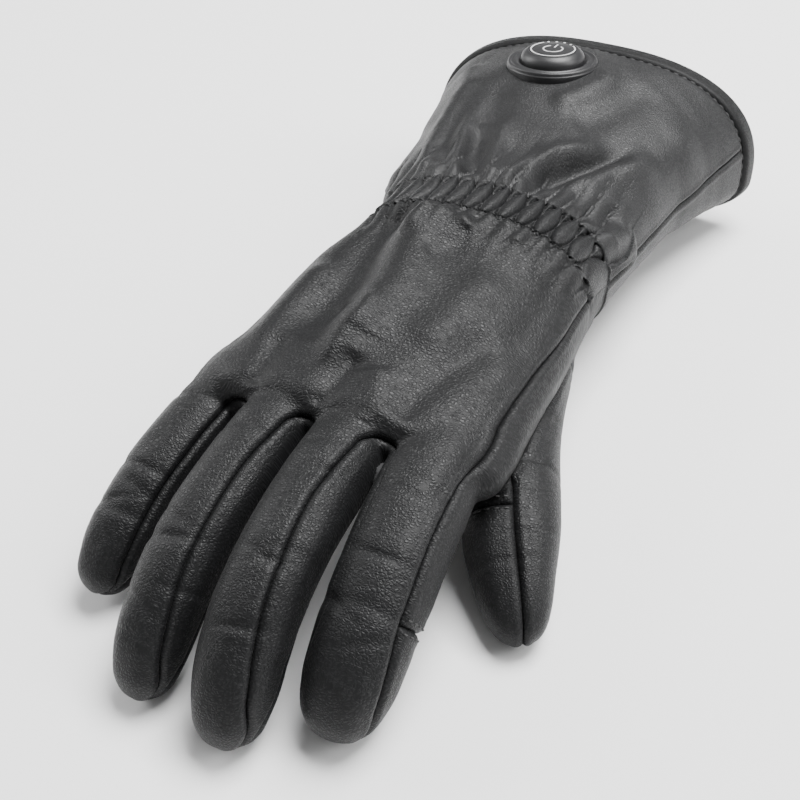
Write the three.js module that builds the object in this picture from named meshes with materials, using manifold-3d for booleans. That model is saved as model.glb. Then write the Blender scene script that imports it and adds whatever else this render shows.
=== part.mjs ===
// Heated gauntlet glove for the right hand, lying palm down on its fingertips, thumb and cuff.
// Millimetres. X runs towards the thumb, minus Y towards the fingertips, Z is up.
import * as THREE from 'three';
import Module from 'manifold-3d';

const wasm = await Module();
wasm.setup();

// Driving sizes
const cuffLength = 121.8;
const handLength = 100;
const palmWidth = 113;
const wristHeight = 61;
const knuckleArch = 17.5;
const fingerLength = 110.4;
const fingerWidth = 32;
const thumbLength = 109;
const thumbWidth = 31.5;
const spineHeight = 46;
const restTilt = -5.45;

// Walls, seams and trim
const handWall = 2.4;
const cuffWall = 2.8;
const seamGap = 0.3;
const gatherWidth = 17;
const gatherDepth = 2.2;
const gatherCount = 15;
const pleatCount = 9;
const pleatDepth = 2.6;
const pleatReach = 44;
const bindingWidth = 9;
const bindingBulge = 0.9;
const touchTipShare = 0.63;

// Rubber button on the back of the cuff
const buttonWidth = 37;
const buttonBase = 4.2;
const buttonDomeWidth = 26;
const buttonDomeHeight = 6;
const buttonTilt = 6;
const buttonFaceWidth = 19;
const buttonFaceHeight = 1.1;
const buttonPlace = 0.765;
const buttonShift = -0.1;
const buttonSink = 1.6;

// Sections from the hem to the knuckles. place is a share of the cuff length behind the
// gathers or of the hand length before them, shift and half are shares of the palm width,
// up and down are shares of the wrist height.
const sections = [
  { place: -1.06, shift: 0.036, half: 0.622, up: 0.7, down: 0.36 },
  { place: -1, shift: 0.036, half: 0.62, up: 0.705, down: 0.36 },
  { place: -0.72, shift: 0.032, half: 0.54, up: 0.66, down: 0.38 },
  { place: -0.458, shift: 0.026, half: 0.475, up: 0.545, down: 0.42 },
  { place: -0.229, shift: 0.023, half: 0.45, up: 0.506, down: 0.43 },
  { place: 0, shift: 0.056, half: 0.393, up: 0.54, down: 0.459 },
  { place: 0.372, shift: 0.026, half: 0.455, up: 0.433, down: 0.393 },
  { place: 0.744, shift: 0.027, half: 0.472, up: 0.322, down: 0.305 },
  { place: 0.92, shift: 0.008, half: 0.498, up: 0.258, down: 0.25 },
  { place: 1.1, shift: 0, half: 0.49, up: 0.215, down: 0.215 },
];

// Slope of the glove's middle line in degrees, falling towards the fingers.
const spine = [
  { place: -1, pitch: -8.3 },
  { place: -0.764, pitch: -3.95 },
  { place: -0.305, pitch: 2.19 },
  { place: 0.186, pitch: 2.38 },
  { place: 0.744, pitch: -1.12 },
  { place: 1.023, pitch: 7.03 },
  { place: 1.4, pitch: 19 },
];

// Height of the seam beside the back panel, as shares of the section's height above its middle.
const sideSeams = [
  { place: -1, left: 0.2, right: 0.42 },
  { place: -0.5, left: 0.2, right: 0.12 },
  { place: -0.1, left: 0.22, right: 0.08 },
  { place: 0, left: 0.25, right: 0.2 },
  { place: 0.3, left: 0.4, right: 0.4 },
  { place: 0.6, left: 0.45, right: 0.6 },
  { place: 0.85, left: 0.5, right: 0.64 },
];

// Fingers: across is a share of the palm width, start of the hand length, length of the
// longest finger, width of the widest finger, thick of the finger's own width.
const fingers = [
  { name: 'little', across: -0.372, start: 0.856, length: 0.799, width: 0.73, thick: 0.95,
    yaw: -9.9, roll: -2.4, pitch: [10.8, 22, 46] },
  { name: 'ring', across: -0.143, start: 0.921, length: 0.995, width: 0.78, thick: 0.95,
    yaw: -4.8, roll: 5, pitch: [-0.6, 19, 57.5] },
  { name: 'middle', across: 0.075, start: 0.939, length: 1.01, width: 0.85, thick: 0.95,
    yaw: -0.7, roll: 10.5, pitch: [-3.4, 18.4, 57] },
  { name: 'index', across: 0.316, start: 0.902, length: 0.885, width: 0.95, thick: 0.94,
    yaw: 3.8, roll: 3.7, pitch: [0, 22.8, 55.5] },
];

const thumb = {
  name: 'thumb', across: 0.335, start: 0.27, drop: 0.175, thick: 0.95,
  yaw: 12.5, roll: 0, pitch: [6, 8.2, 16.4], turn: [0, 10, 24],
};

// Width of a finger along its length, from the knuckle to the tip.
const fingerShape = [
  { along: 0, width: 0.94 },
  { along: 0.3, width: 1 },
  { along: 0.6, width: 1 },
  { along: 0.8, width: 0.95 },
  { along: 0.92, width: 0.78 },
  { along: 0.97, width: 0.55 },
  { along: 1, width: 0.12 },
];
const thumbShape = [
  { along: 0, width: 1 },
  { along: 0.62, width: 1 },
  { along: 0.84, width: 0.77 },
  { along: 0.92, width: 0.62 },
  { along: 0.974, width: 0.4 },
  { along: 1, width: 0.1 },
];

// Height of the seams beside each finger, as shares of its half thickness, and how they close
// in towards the tip.
const fingerSeams = {
  little: { left: 0.5, right: 0.56 },
  ring: { left: 0.55, right: 0.8 },
  middle: { left: 0.58, right: 0.84 },
  index: { left: 0.6, right: 0.68 },
};
const seamClosing = [
  { along: 0, height: 0.9 },
  { along: 0.15, height: 1 },
  { along: 0.6, height: 0.95 },
  { along: 0.85, height: 0.7 },
  { along: 0.95, height: 0.3 },
  { along: 1.1, height: 0.2 },
];
const stripDrop = 0.5;
const stripEnd = 0.985;
const postReach = 1.12;
const rootSpread = 0.42;
const stepOver = 1;

const handSquareness = 2.5;
const cuffUnderSquareness = 2.1;
const fingerSquareness = 2.3;
const degree = Math.PI / 180;
const reach = 60;

// Smooth monotone curve through one column of a table.
function read(table, from, column, at) {
  const last = table.length - 1;
  if (at <= table[0][from]) return table[0][column];
  if (at >= table[last][from]) return table[last][column];
  let i = 0;
  while (at > table[i + 1][from]) i += 1;
  const run = (k) => table[k + 1][from] - table[k][from];
  const rise = (k) => (table[k + 1][column] - table[k][column]) / run(k);
  const slope = (k) => {
    if (k === 0) return rise(0);
    if (k === last) return rise(last - 1);
    const before = rise(k - 1);
    const after = rise(k);
    return before * after <= 0 ? 0 : (2 * before * after) / (before + after);
  };
  const t = (at - table[i][from]) / run(i);
  const a = table[i][column];
  const b = table[i + 1][column];
  const curve = (2 * t - 3) * t * t;
  return a * (1 + curve) - b * curve
    + run(i) * t * (1 - t) * ((1 - t) * slope(i) - t * slope(i + 1));
}

const placeOf = (s) => (s < 0 ? s / cuffLength : s / handLength);

function pitchAt(s) {
  return (read(spine, 'place', 'pitch', placeOf(s)) + restTilt) * degree;
}

// The middle line is walked in short steps from the gathers both ways.
function spineAt(s) {
  const steps = Math.max(1, Math.ceil(Math.abs(s) / 2));
  const step = s / steps;
  let y = 0;
  let z = spineHeight;
  for (let i = 0; i < steps; i += 1) {
    const pitch = pitchAt(step * (i + 0.5));
    y -= Math.cos(pitch) * step;
    z -= Math.sin(pitch) * step;
  }
  return { y, z, pitch: pitchAt(s) };
}

function sectionAt(s) {
  const at = placeOf(s);
  const ramp = Math.min(1, Math.max(0, (s / handLength + 0.186) / 0.837));
  return {
    spine: spineAt(s),
    shift: read(sections, 'place', 'shift', at) * palmWidth,
    half: read(sections, 'place', 'half', at) * palmWidth,
    up: read(sections, 'place', 'up', at) * wristHeight,
    down: read(sections, 'place', 'down', at) * wristHeight,
    bend: (ramp * knuckleArch) / (palmWidth * palmWidth / 2.08),
    square: handSquareness,
    under: s < 0 ? cuffUnderSquareness : handSquareness,
  };
}

// A point of a section from its place across and its height, the section bent over the knuckles.
function onSection(section, x, height) {
  const { y, z, pitch } = section.spine;
  let across = x;
  let rise = height;
  if (section.bend > 0) {
    const turn = x * section.bend;
    across = Math.sin(turn) * (1 / section.bend + height);
    rise = (Math.cos(turn) - 1) / section.bend + height * Math.cos(turn);
  }
  return new THREE.Vector3(across, y - rise * Math.sin(pitch), z + rise * Math.cos(pitch));
}

// Rounded outline of a section, read at the given shares of its girth from the underside round
// by the thumb side. Each stop carries its place and the outward direction.
function outline(shape, stops, grow) {
  const fine = 160;
  const walk = [];
  for (let i = 0; i <= fine; i += 1) {
    const angle = (2 * Math.PI * i) / fine - Math.PI / 2;
    const c = Math.cos(angle);
    const s = Math.sin(angle);
    const power = 2 / (s > 0 ? shape.square : shape.under);
    const x = shape.half * Math.sign(c) * Math.abs(c) ** power;
    const h = (s > 0 ? shape.up : shape.down) * Math.sign(s) * Math.abs(s) ** power;
    const before = walk[i - 1];
    walk.push({ x, h, girth: before ? before.girth + Math.hypot(x - before.x, h - before.h) : 0 });
  }
  const girth = walk[fine].girth;
  return stops.map((stop) => {
    let i = 1;
    while (i < fine && walk[i].girth < stop * girth) i += 1;
    const a = walk[i - 1];
    const b = walk[i];
    const t = (stop * girth - a.girth) / (b.girth - a.girth);
    const length = b.girth - a.girth;
    const nx = (b.h - a.h) / length;
    const nh = (a.x - b.x) / length;
    return { x: a.x + (b.x - a.x) * t + nx * grow, h: a.h + (b.h - a.h) * t + nh * grow, nx, nh, stop };
  });
}

const evenStops = (count) => Array.from({ length: count }, (_, i) => i / count);

// Stops that lie closer on the back than on the underside.
const backFrom = 0.24;
const backTo = 0.76;
function denseStops(backCount, underCount) {
  const stops = [];
  const under = 1 - (backTo - backFrom);
  for (let i = 0; i < backCount; i += 1) stops.push(backFrom + ((backTo - backFrom) * i) / backCount);
  for (let i = 0; i < underCount; i += 1) {
    const stop = backTo + (under * i) / underCount;
    stops.push(stop >= 1 ? stop - 1 : stop);
  }
  return stops.sort((a, b) => a - b);
}

function bodyOf(points, faces) {
  const mesh = new wasm.Mesh({
    numProp: 3,
    vertProperties: new Float32Array(points.flatMap((p) => [p.x, p.y, p.z])),
    triVerts: new Uint32Array(faces.flat()),
  });
  const body = new wasm.Manifold(mesh);
  if (body.volume() > 0) return body;
  return bodyOf(points, faces.map(([a, b, c]) => [a, c, b]));
}

// Solid through a row of rings, its two ends closed by fans.
function loft(rings) {
  const n = rings[0].length;
  const points = rings.flat();
  const faces = [];
  for (let r = 0; r + 1 < rings.length; r += 1) {
    for (let i = 0; i < n; i += 1) {
      const a = r * n + i;
      const b = r * n + ((i + 1) % n);
      faces.push([a, b, b + n], [a, b + n, a + n]);
    }
  }
  for (const end of [0, rings.length - 1]) {
    const middle = rings[end].reduce((sum, p) => sum.add(p), new THREE.Vector3()).divideScalar(n);
    const hub = points.push(middle) - 1;
    for (let i = 0; i < n; i += 1) {
      const a = end * n + i;
      const b = end * n + ((i + 1) % n);
      faces.push(end === 0 ? [hub, b, a] : [hub, a, b]);
    }
  }
  return bodyOf(points, faces);
}

// Solid between a low and a high sheet, each row a list of low and high points.
function slab(rows) {
  const n = rows[0].length;
  const points = rows.flat().flatMap((post) => [post.low, post.high]);
  const at = (r, c, top) => 2 * (r * n + c) + top;
  const faces = [];
  const quad = (a, b, c, d) => faces.push([a, b, c], [a, c, d]);
  for (let r = 0; r + 1 < rows.length; r += 1) {
    for (let c = 0; c + 1 < n; c += 1) {
      quad(at(r, c, 0), at(r, c + 1, 0), at(r + 1, c + 1, 0), at(r + 1, c, 0));
      quad(at(r, c, 1), at(r + 1, c, 1), at(r + 1, c + 1, 1), at(r, c + 1, 1));
    }
    quad(at(r, 0, 0), at(r + 1, 0, 0), at(r + 1, 0, 1), at(r, 0, 1));
    quad(at(r, n - 1, 0), at(r, n - 1, 1), at(r + 1, n - 1, 1), at(r + 1, n - 1, 0));
  }
  for (let c = 0; c + 1 < n; c += 1) {
    const last = rows.length - 1;
    quad(at(0, c, 0), at(0, c, 1), at(0, c + 1, 1), at(0, c + 1, 0));
    quad(at(last, c, 0), at(last, c + 1, 0), at(last, c + 1, 1), at(last, c, 1));
  }
  return bodyOf(points, faces);
}

// Relief of the leather: broad folds on the back of the hand, pleats that run out of the gathers.
const folds = [
  { place: 0.42, stop: 0.545, length: 0.42, width: 0.03, height: 2.6, slant: 0.1 },
  { place: 0.4, stop: 0.6, length: 0.34, width: 0.028, height: -1.8, slant: 0.1 },
  { place: 0.5, stop: 0.49, length: 0.3, width: 0.03, height: -1.6, slant: 0.08 },
  { place: 0.35, stop: 0.4, length: 0.16, width: 0.035, height: -1.4, slant: -0.3 },
  { place: -0.62, stop: 0.36, length: 0.2, width: 0.03, height: -2.2, slant: 0.1 },
  { place: -0.75, stop: 0.58, length: 0.22, width: 0.03, height: -1.6, slant: -0.05 },
];
const halfGather = gatherWidth / 2;
const backMiddle = 0.5;
const backHalf = 0.25;

function foldAt(s, stop) {
  const at = placeOf(s);
  let height = 0;
  for (const fold of folds) {
    const along = (at - fold.place) / fold.length;
    const side = (stop - fold.stop - fold.slant * (at - fold.place)) / fold.width;
    height += fold.height * Math.exp(-along * along - side * side);
  }
  return height;
}

function backEdge(stop) {
  const off = Math.abs(stop - backMiddle) / backHalf;
  return off >= 1 ? 0 : 1 - off ** 6;
}

function puckerAt(s, stop) {
  const edge = backEdge(stop);
  const inside = Math.min(1, Math.abs(s) / halfGather);
  const lean = 0.09 * (s / halfGather) * edge;
  const wave = Math.cos(Math.PI * gatherCount * ((stop - backMiddle) / backHalf + lean));
  return gatherDepth * edge * (wave * (1 - inside ** 4) - inside ** 6 * 0.4);
}

function pleatAt(s, stop) {
  const edge = backEdge(stop);
  const past = Math.max(0, -s - halfGather);
  const fade = Math.max(0, 1 - past / pleatReach);
  const wave = Math.cos(Math.PI * pleatCount * ((stop - backMiddle) / backHalf - 0.002 * past));
  return pleatDepth * edge * fade ** 1.5 * wave * Math.min(1, 0.3 + past / 8) * 0.6;
}

function gloveRing(s, stops, grow, relief) {
  const section = sectionAt(s);
  return outline(section, stops, grow).map((p) => {
    const lift = relief(s, p.stop);
    return onSection(section, p.x + section.shift + p.nx * lift, p.h + p.nh * lift);
  });
}

const flat = () => 0;

// Fingers and thumb as tubes along their own bent middle lines
function digitPath(digit) {
  const startAt = digit.start * handLength;
  const section = sectionAt(startAt);
  const x = digit.across * palmWidth;
  const drop = -(digit.drop ?? 0) * wristHeight;
  const ahead = onSection(sectionAt(startAt + 1), x, drop);
  const place = onSection(section, x, drop);
  const forward = ahead.sub(place).normalize();
  const side = onSection(section, x + 1, drop).sub(place);
  side.addScaledVector(forward, -side.dot(forward)).normalize();
  const up = new THREE.Vector3().crossVectors(side, forward).negate();
  if (up.z < 0) up.negate();
  const yaw = digit.yaw * degree;
  const heading = forward.clone().multiplyScalar(Math.cos(yaw)).addScaledVector(side, Math.sin(yaw));
  side.multiplyScalar(Math.cos(yaw)).addScaledVector(forward, -Math.sin(yaw));
  const roll = digit.roll * degree;
  const across = side.clone().multiplyScalar(Math.cos(roll)).addScaledVector(up, Math.sin(roll));
  up.multiplyScalar(Math.cos(roll)).addScaledVector(side, -Math.sin(roll));
  const three = (values, at) => (at < 0.5
    ? values[0] + (values[1] - values[0]) * at * 2
    : values[1] + (values[2] - values[1]) * (at * 2 - 1));
  const frameAt = (at) => {
    const turn = three(digit.turn ?? [0, 0, 0], at) * degree;
    const pitch = three(digit.pitch, at) * degree;
    const level = heading.clone().multiplyScalar(Math.cos(turn)).addScaledVector(across, Math.sin(turn));
    return {
      along: level.clone().multiplyScalar(Math.cos(pitch)).addScaledVector(up, -Math.sin(pitch)),
      across: across.clone().multiplyScalar(Math.cos(turn)).addScaledVector(heading, -Math.sin(turn)),
      up: level.clone().multiplyScalar(Math.sin(pitch)).addScaledVector(up, Math.cos(pitch)),
    };
  };
  const steps = 48;
  const stations = [{ at: 0, place, ...frameAt(0) }];
  for (let i = 0; i < steps * 1.2; i += 1) {
    const at = (i + 1) / steps;
    const before = stations[i].place;
    const next = before.clone().addScaledVector(frameAt((i + 0.5) / steps).along, digit.size / steps);
    stations.push({ at, place: next, ...frameAt(Math.min(1, at)) });
  }
  return (at) => {
    const k = Math.min(stations.length - 2, Math.max(0, Math.floor(at * steps)));
    const t = at * steps - k;
    const spot = stations[k];
    return { ...spot, place: spot.place.clone().lerp(stations[k + 1].place, t) };
  };
}

const digits = fingers.map((finger) => {
  const width = finger.width * fingerWidth;
  const digit = { ...finger, size: finger.length * fingerLength, girth: width, shape: fingerShape };
  return { ...digit, thickness: width * finger.thick, path: digitPath(digit) };
});
const thumbDigit = { ...thumb, size: thumbLength, girth: thumbWidth, shape: thumbShape };
thumbDigit.thickness = thumbWidth * thumb.thick;
thumbDigit.path = digitPath(thumbDigit);

function digitRing(digit, at, stops, grow) {
  const spot = digit.path(at);
  const swell = read(digit.shape, 'along', 'width', at);
  const shape = {
    half: (digit.girth / 2) * swell,
    up: (digit.thickness / 2) * swell,
    down: (digit.thickness / 2) * swell,
    square: fingerSquareness,
    under: fingerSquareness,
  };
  return outline(shape, stops, grow).map((p) => spot.place.clone()
    .addScaledVector(spot.across, p.x)
    .addScaledVector(spot.up, p.h));
}

const outerCuts = [0, 0.22, 0.42, 0.6, 0.74, 0.85, 0.92, 0.97, 1];
const innerCuts = [-0.02, 0.42, 0.74, 0.92];
const digitStops = evenStops(14);
const digitInnerStops = evenStops(8);

const digitOuter = (digit, grow) => loft(outerCuts.map((at) => digitRing(digit, at, digitStops, grow)));
const digitInner = (digit) => loft(
  innerCuts.map((at) => digitRing(digit, Math.max(0, at), digitInnerStops, -handWall)
    .map((p) => (at < 0 ? p.addScaledVector(digit.path(0).along, at * digit.size) : p))),
);

// Hand body from the gathers to the roots of the fingers
const handStops = evenStops(28);
const handInnerStops = evenStops(12);
const handCuts = [0.085, 0.17, 0.28, 0.4, 0.53, 0.66, 0.79, 0.9];
const crown = [
  { place: 0.97, grow: -1.2 },
  { place: 1.01, grow: -2.8 },
  { place: 1.035, grow: -4.4 },
  { place: 1.045, grow: -7 },
];

function handOuter(grow) {
  const wristRing = gloveRing(-halfGather, handStops, grow, foldAt);
  const rings = handCuts.map((at) => gloveRing(at * handLength, handStops, grow, foldAt));
  const ends = crown.map((row) => (
    gloveRing(row.place * handLength + grow, handStops, grow + row.grow, flat)));
  return loft([wristRing, ...rings, ...ends]);
}

function handInner() {
  const start = gloveRing(-gatherWidth, handInnerStops, -handWall, flat);
  const rings = [0.085, 0.45, 0.8].map((at) => (
    gloveRing(at * handLength, handInnerStops, -handWall - 0.6, flat)));
  const end = gloveRing(1.01 * handLength, handInnerStops, -handWall - 3.4, flat);
  return loft([start, ...rings, end]);
}

// Sheets through the seams, from one side of the glove to the other. Every row has the same
// posts: three to a finger or its root, one between neighbours and one far out on each side.
function raised(foot, up, from, to) {
  return {
    low: foot.clone().addScaledVector(up, from),
    high: foot.clone().addScaledVector(up, to),
    up,
  };
}

function handPosts(s, lift, floor) {
  const section = sectionAt(s);
  const at = placeOf(s);
  const left = read(sideSeams, 'place', 'left', at) * section.up;
  const right = read(sideSeams, 'place', 'right', at) * section.up;
  const wide = section.half + reach / 2;
  const roots = digits.flatMap((digit) => [-rootSpread, 0, rootSpread]
    .map((share) => digit.across * palmWidth + share * digit.girth));
  return [-wide, ...roots, wide].map((x) => {
    const height = left + ((right - left) * (x / wide + 1)) / 2 + lift;
    const foot = onSection(section, x + section.shift, 0);
    const up = onSection(section, x + section.shift, 1).sub(foot);
    return raised(foot, up, floor ? -stripDrop * section.down - lift : height, floor ? height : reach);
  });
}

// The posts beside a finger stand just outside its seams.
function fingerPosts(digit, at, lift, floor) {
  const spot = digit.path(at);
  const swell = read(digit.shape, 'along', 'width', at);
  const closing = read(seamClosing, 'along', 'height', at);
  const { left, right } = fingerSeams[digit.name];
  return [-1, 0, 1].map((side) => {
    const share = side === 0 ? 0 : closing * (side < 0 ? left : right);
    const out = side * postReach * (1 - share ** fingerSquareness) ** (1 / fingerSquareness);
    const foot = spot.place.clone().addScaledVector(spot.across, (out * swell * digit.girth) / 2);
    const height = (postReach * share * swell * digit.thickness) / 2 + lift;
    const drop = (stripDrop * closing * swell * digit.thickness) / 2 + lift;
    return raised(foot, spot.up, floor ? -drop : height, floor ? height : reach);
  });
}

function fingerRow(at, lift, floor) {
  const posts = digits.flatMap((digit) => fingerPosts(digit, at, lift, floor));
  const wing = (digit, post, way) => {
    const out = digit.path(at).across.clone().multiplyScalar(way * reach / 2);
    return { low: post.low.clone().add(out), high: post.high.clone().add(out), up: post.up };
  };
  const last = digits.length - 1;
  return [wing(digits[0], posts[0], -1), ...posts, wing(digits[last], posts[posts.length - 1], 1)];
}

// Between two neighbours the sheet steps over the shoulder of the higher one.
function withSteps(posts, floor) {
  return posts.flatMap((post, i) => {
    if (i === 0 || i % 3 !== 0 || i + 2 >= posts.length) return [post];
    const next = posts[i + 1];
    const step = (end, way) => {
      const lean = Math.abs(post[end].clone().sub(next[end]).dot(post.up)) / 2 + stepOver;
      return post[end].clone().lerp(next[end], 0.5).addScaledVector(post.up, way * lean);
    };
    return [post, { low: step('low', floor ? -1 : 1), high: step('high', 1), up: post.up }];
  });
}

const fingerCuts = [0, 0.12, 0.26, 0.42, 0.58, 0.72, 0.84, 0.93];
const handRows = [0, 0.12, 0.25, 0.4, 0.55, 0.7, 0.82];

function aboveSeams(from, lift) {
  const hand = handRows.map((at) => at * handLength).filter((s) => s > from + 2);
  return slab([
    ...[from, ...hand].map((s) => withSteps(handPosts(s, lift, false), false)),
    ...[...fingerCuts, 1.06].map((at) => withSteps(fingerRow(at, lift, false), false)),
  ]);
}

function cuffAboveSeams(lift) {
  const rows = [0.15, -0.1, -0.3, -0.5, -0.7, -0.9, -1.1];
  return slab(rows.map((at) => handPosts(at * cuffLength, lift, false)));
}

// Strip between two neighbouring fingers, from tip to crotch to tip
function stripBetween(pair, grow, end) {
  const from = 4 * pair + 2;
  const rows = [
    withSteps(handPosts(handRows[handRows.length - 1] * handLength, grow, true), true),
    ...[...fingerCuts, end].map((at) => withSteps(fingerRow(at, grow, true), true)),
  ];
  return slab(rows.map((row) => row.slice(from, from + 5)));
}

const stripNames = ['fourchette_little_ring', 'fourchette_ring_middle', 'fourchette_middle_index'];

const outerShell = digits.reduce((body, digit) => body.add(digitOuter(digit, 0)), handOuter(0));
const innerShell = digits.reduce((body, digit) => body.add(digitInner(digit)), handInner());
const thumbInner = digitInner(thumbDigit);
const shell = outerShell.subtract(innerShell);

const backPanel = shell.intersect(aboveSeams(halfGather + seamGap, seamGap));
const strips = stripNames.map((name, pair) => (
  { name, body: shell.intersect(stripBetween(pair, 0, stripEnd)) }));
let palmPanel = shell.subtract(aboveSeams(-gatherWidth, 0));
stripNames.forEach((name, pair) => {
  palmPanel = palmPanel.subtract(stripBetween(pair, seamGap, stripEnd + 0.006));
});
palmPanel = palmPanel.subtract(thumbInner);

// Conductive tip of the index finger, cut from the palm leather
function tipSleeve(digit, from, grow) {
  const cuts = [from, ...outerCuts.filter((at) => at > from)];
  const cap = digitRing(digit, 1, digitStops, grow)
    .map((p) => p.addScaledVector(digit.path(1).along, 2 * grow));
  return loft([...cuts.map((at) => digitRing(digit, at, digitStops, grow)), cap]);
}
const indexDigit = digits[3];
const gapShare = seamGap / indexDigit.size;
const indexTip = palmPanel.intersect(tipSleeve(indexDigit, touchTipShare, seamGap));
palmPanel = palmPanel.subtract(tipSleeve(indexDigit, touchTipShare - gapShare, seamGap));

// Thumb, split by a sheet along its length
function thumbHalf(way, offset, from, to) {
  const cuts = [from, 0.25, 0.5, 0.75, 0.95, to].filter((at) => at >= from && at <= to);
  return slab(cuts.map((at) => {
    const spot = thumbDigit.path(at);
    return [offset, reach].map((far) => {
      const place = spot.place.clone().addScaledVector(spot.across, way * far);
      return {
        low: place.clone().addScaledVector(spot.up, -reach / 2),
        high: place.clone().addScaledVector(spot.up, reach / 2),
      };
    });
  }));
}
let thumbShell = digitOuter(thumbDigit, 0).subtract(thumbInner).subtract(handOuter(seamGap));
for (const digit of digits) thumbShell = thumbShell.subtract(digitOuter(digit, seamGap));
const thumbGap = seamGap / thumbDigit.size;
const thumbBack = thumbShell.intersect(thumbHalf(1, seamGap / 2, 0, 1.08));
const thumbPad = thumbShell.intersect(thumbHalf(-1, seamGap / 2, 0, 1.08));
const thumbFront = thumbPad.intersect(thumbHalf(-1, 0, 0, touchTipShare - thumbGap));
const thumbTip = thumbPad.intersect(thumbHalf(-1, 0, touchTipShare, 1.09));

// Elastic gathers across the back of the wrist
const gatherOuterStops = denseStops(gatherCount * 4, 8);
const gatherLines = [-1, -0.6, 0.6, 1];
const gatherOuter = loft(gatherLines.map((at) => (
  gloveRing(at * halfGather, gatherOuterStops, 0, puckerAt))));
const gatherInner = loft([-1.2, 1.2].map((at) => (
  gloveRing(at * halfGather, evenStops(16), -handWall - 0.6, flat))));
const wristGathers = gatherOuter.subtract(gatherInner)
  .intersect(aboveSeams(-gatherWidth, seamGap));

// Flared cuff and its binding
const hem = cuffLength;
const bindingStart = hem - bindingWidth;
const cuffStart = halfGather + seamGap;
const cuffLines = [0, 0.07, 0.17, 0.32, 0.52, 0.76, 1]
  .map((at) => -(cuffStart + (bindingStart - seamGap - cuffStart) * at));
const cuffStops = denseStops(pleatCount * 4, 10);
const cuffRelief = (s, stop) => foldAt(s, stop) + pleatAt(s, stop);
const cuffOuter = loft(cuffLines.map((s) => gloveRing(s, cuffStops, 0, cuffRelief)));
const cuffInnerLines = [-halfGather + 3, -halfGather - 8, -cuffLength / 3, -cuffLength * 0.7, -hem - 3];
const cuffInner = loft(cuffInnerLines.map((s) => gloveRing(s, evenStops(16), -cuffWall - 0.8, flat)));
const cuffBody = cuffOuter.subtract(cuffInner);
const cuffBack = cuffBody.intersect(cuffAboveSeams(seamGap));
const cuffUnderside = cuffBody.subtract(cuffAboveSeams(0));

const bindingStops = evenStops(30);
const bindingShape = [
  { at: 0, grow: bindingBulge * 0.4 },
  { at: 0.3, grow: bindingBulge },
  { at: 0.85, grow: bindingBulge * 0.7 },
  { at: 1, grow: -bindingBulge },
];
const bindingOuter = loft(bindingShape.map(({ at, grow }) => (
  gloveRing(-bindingStart - bindingWidth * at, bindingStops, grow, flat))));
const bindingInner = loft([-bindingStart + 2, -hem - 2].map((s) => (
  gloveRing(s, bindingStops, -cuffWall - 0.8, flat))));
const bindingRing = bindingOuter.subtract(bindingInner);

// Rubber button: round base, soft dome in its middle, printed face on top
function turned(profile, place, frame) {
  const segments = 22;
  const rings = profile.map(({ radius, height }) => Array.from({ length: segments }, (_, i) => {
    const angle = (2 * Math.PI * i) / segments;
    return place.clone()
      .addScaledVector(frame.side, radius * Math.cos(angle))
      .addScaledVector(frame.ahead, radius * Math.sin(angle))
      .addScaledVector(frame.out, height);
  }));
  return loft(rings);
}

const buttonSection = sectionAt(-buttonPlace * cuffLength);
const buttonX = buttonShift * palmWidth;
const heightAbove = (section, x) => {
  const share = Math.abs(x) / section.half;
  return section.up * (1 - share ** section.square) ** (1 / section.square);
};
const topPoint = (section, x) => onSection(section, x + section.shift, heightAbove(section, x));
const buttonSpot = topPoint(buttonSection, buttonX);
const sideStep = topPoint(buttonSection, buttonX + buttonWidth / 3)
  .sub(topPoint(buttonSection, buttonX - buttonWidth / 3)).normalize();
const aheadStep = topPoint(sectionAt(-buttonPlace * cuffLength + buttonWidth / 3), buttonX)
  .sub(topPoint(sectionAt(-buttonPlace * cuffLength - buttonWidth / 3), buttonX)).normalize();
const buttonOut = new THREE.Vector3().crossVectors(aheadStep, sideStep).normalize()
  .applyAxisAngle(sideStep, -buttonTilt * degree);
const buttonFrame = {
  out: buttonOut,
  side: sideStep,
  ahead: new THREE.Vector3().crossVectors(buttonOut, sideStep).normalize(),
};
const half = buttonWidth / 2;
const domeHalf = buttonDomeWidth / 2;
const faceHalf = buttonFaceWidth / 2;
const flange = turned([
  { radius: half - 0.8, height: -buttonSink - 3 },
  { radius: half, height: -buttonSink },
  { radius: half, height: buttonBase - buttonSink - 1.4 },
  { radius: half - 1.2, height: buttonBase - buttonSink },
  { radius: domeHalf + 2.4, height: buttonBase - buttonSink },
  { radius: domeHalf + 1.2, height: buttonBase - buttonSink - 1 },
], buttonSpot, buttonFrame);
const domeHole = turned([
  { radius: domeHalf + seamGap, height: buttonBase - buttonSink - 2.4 },
  { radius: domeHalf + seamGap, height: buttonBase + buttonDomeHeight },
], buttonSpot, buttonFrame);
const domeBase = buttonBase - buttonSink - 2.4 + seamGap;
const domeTop = domeBase + buttonDomeHeight;
const dome = turned([
  { radius: domeHalf, height: domeBase },
  { radius: domeHalf, height: domeBase + buttonDomeHeight * 0.35 },
  { radius: domeHalf - 0.7, height: domeBase + buttonDomeHeight * 0.6 },
  { radius: domeHalf - 2, height: domeTop - 0.7 },
  { radius: faceHalf + 0.6, height: domeTop },
], buttonSpot, buttonFrame);
const faceHole = turned([
  { radius: faceHalf, height: domeTop - buttonFaceHeight },
  { radius: faceHalf, height: domeTop + 3 },
], buttonSpot, buttonFrame);
const face = turned([
  { radius: faceHalf - seamGap, height: domeTop - buttonFaceHeight + seamGap },
  { radius: faceHalf - seamGap, height: domeTop - 0.3 },
  { radius: faceHalf - seamGap - 0.5, height: domeTop },
], buttonSpot, buttonFrame);
const cuffGrown = loft(cuffLines.map((s) => gloveRing(s, cuffStops, seamGap, cuffRelief)));
const buttonFlange = flange.subtract(domeHole).subtract(cuffGrown);
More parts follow.
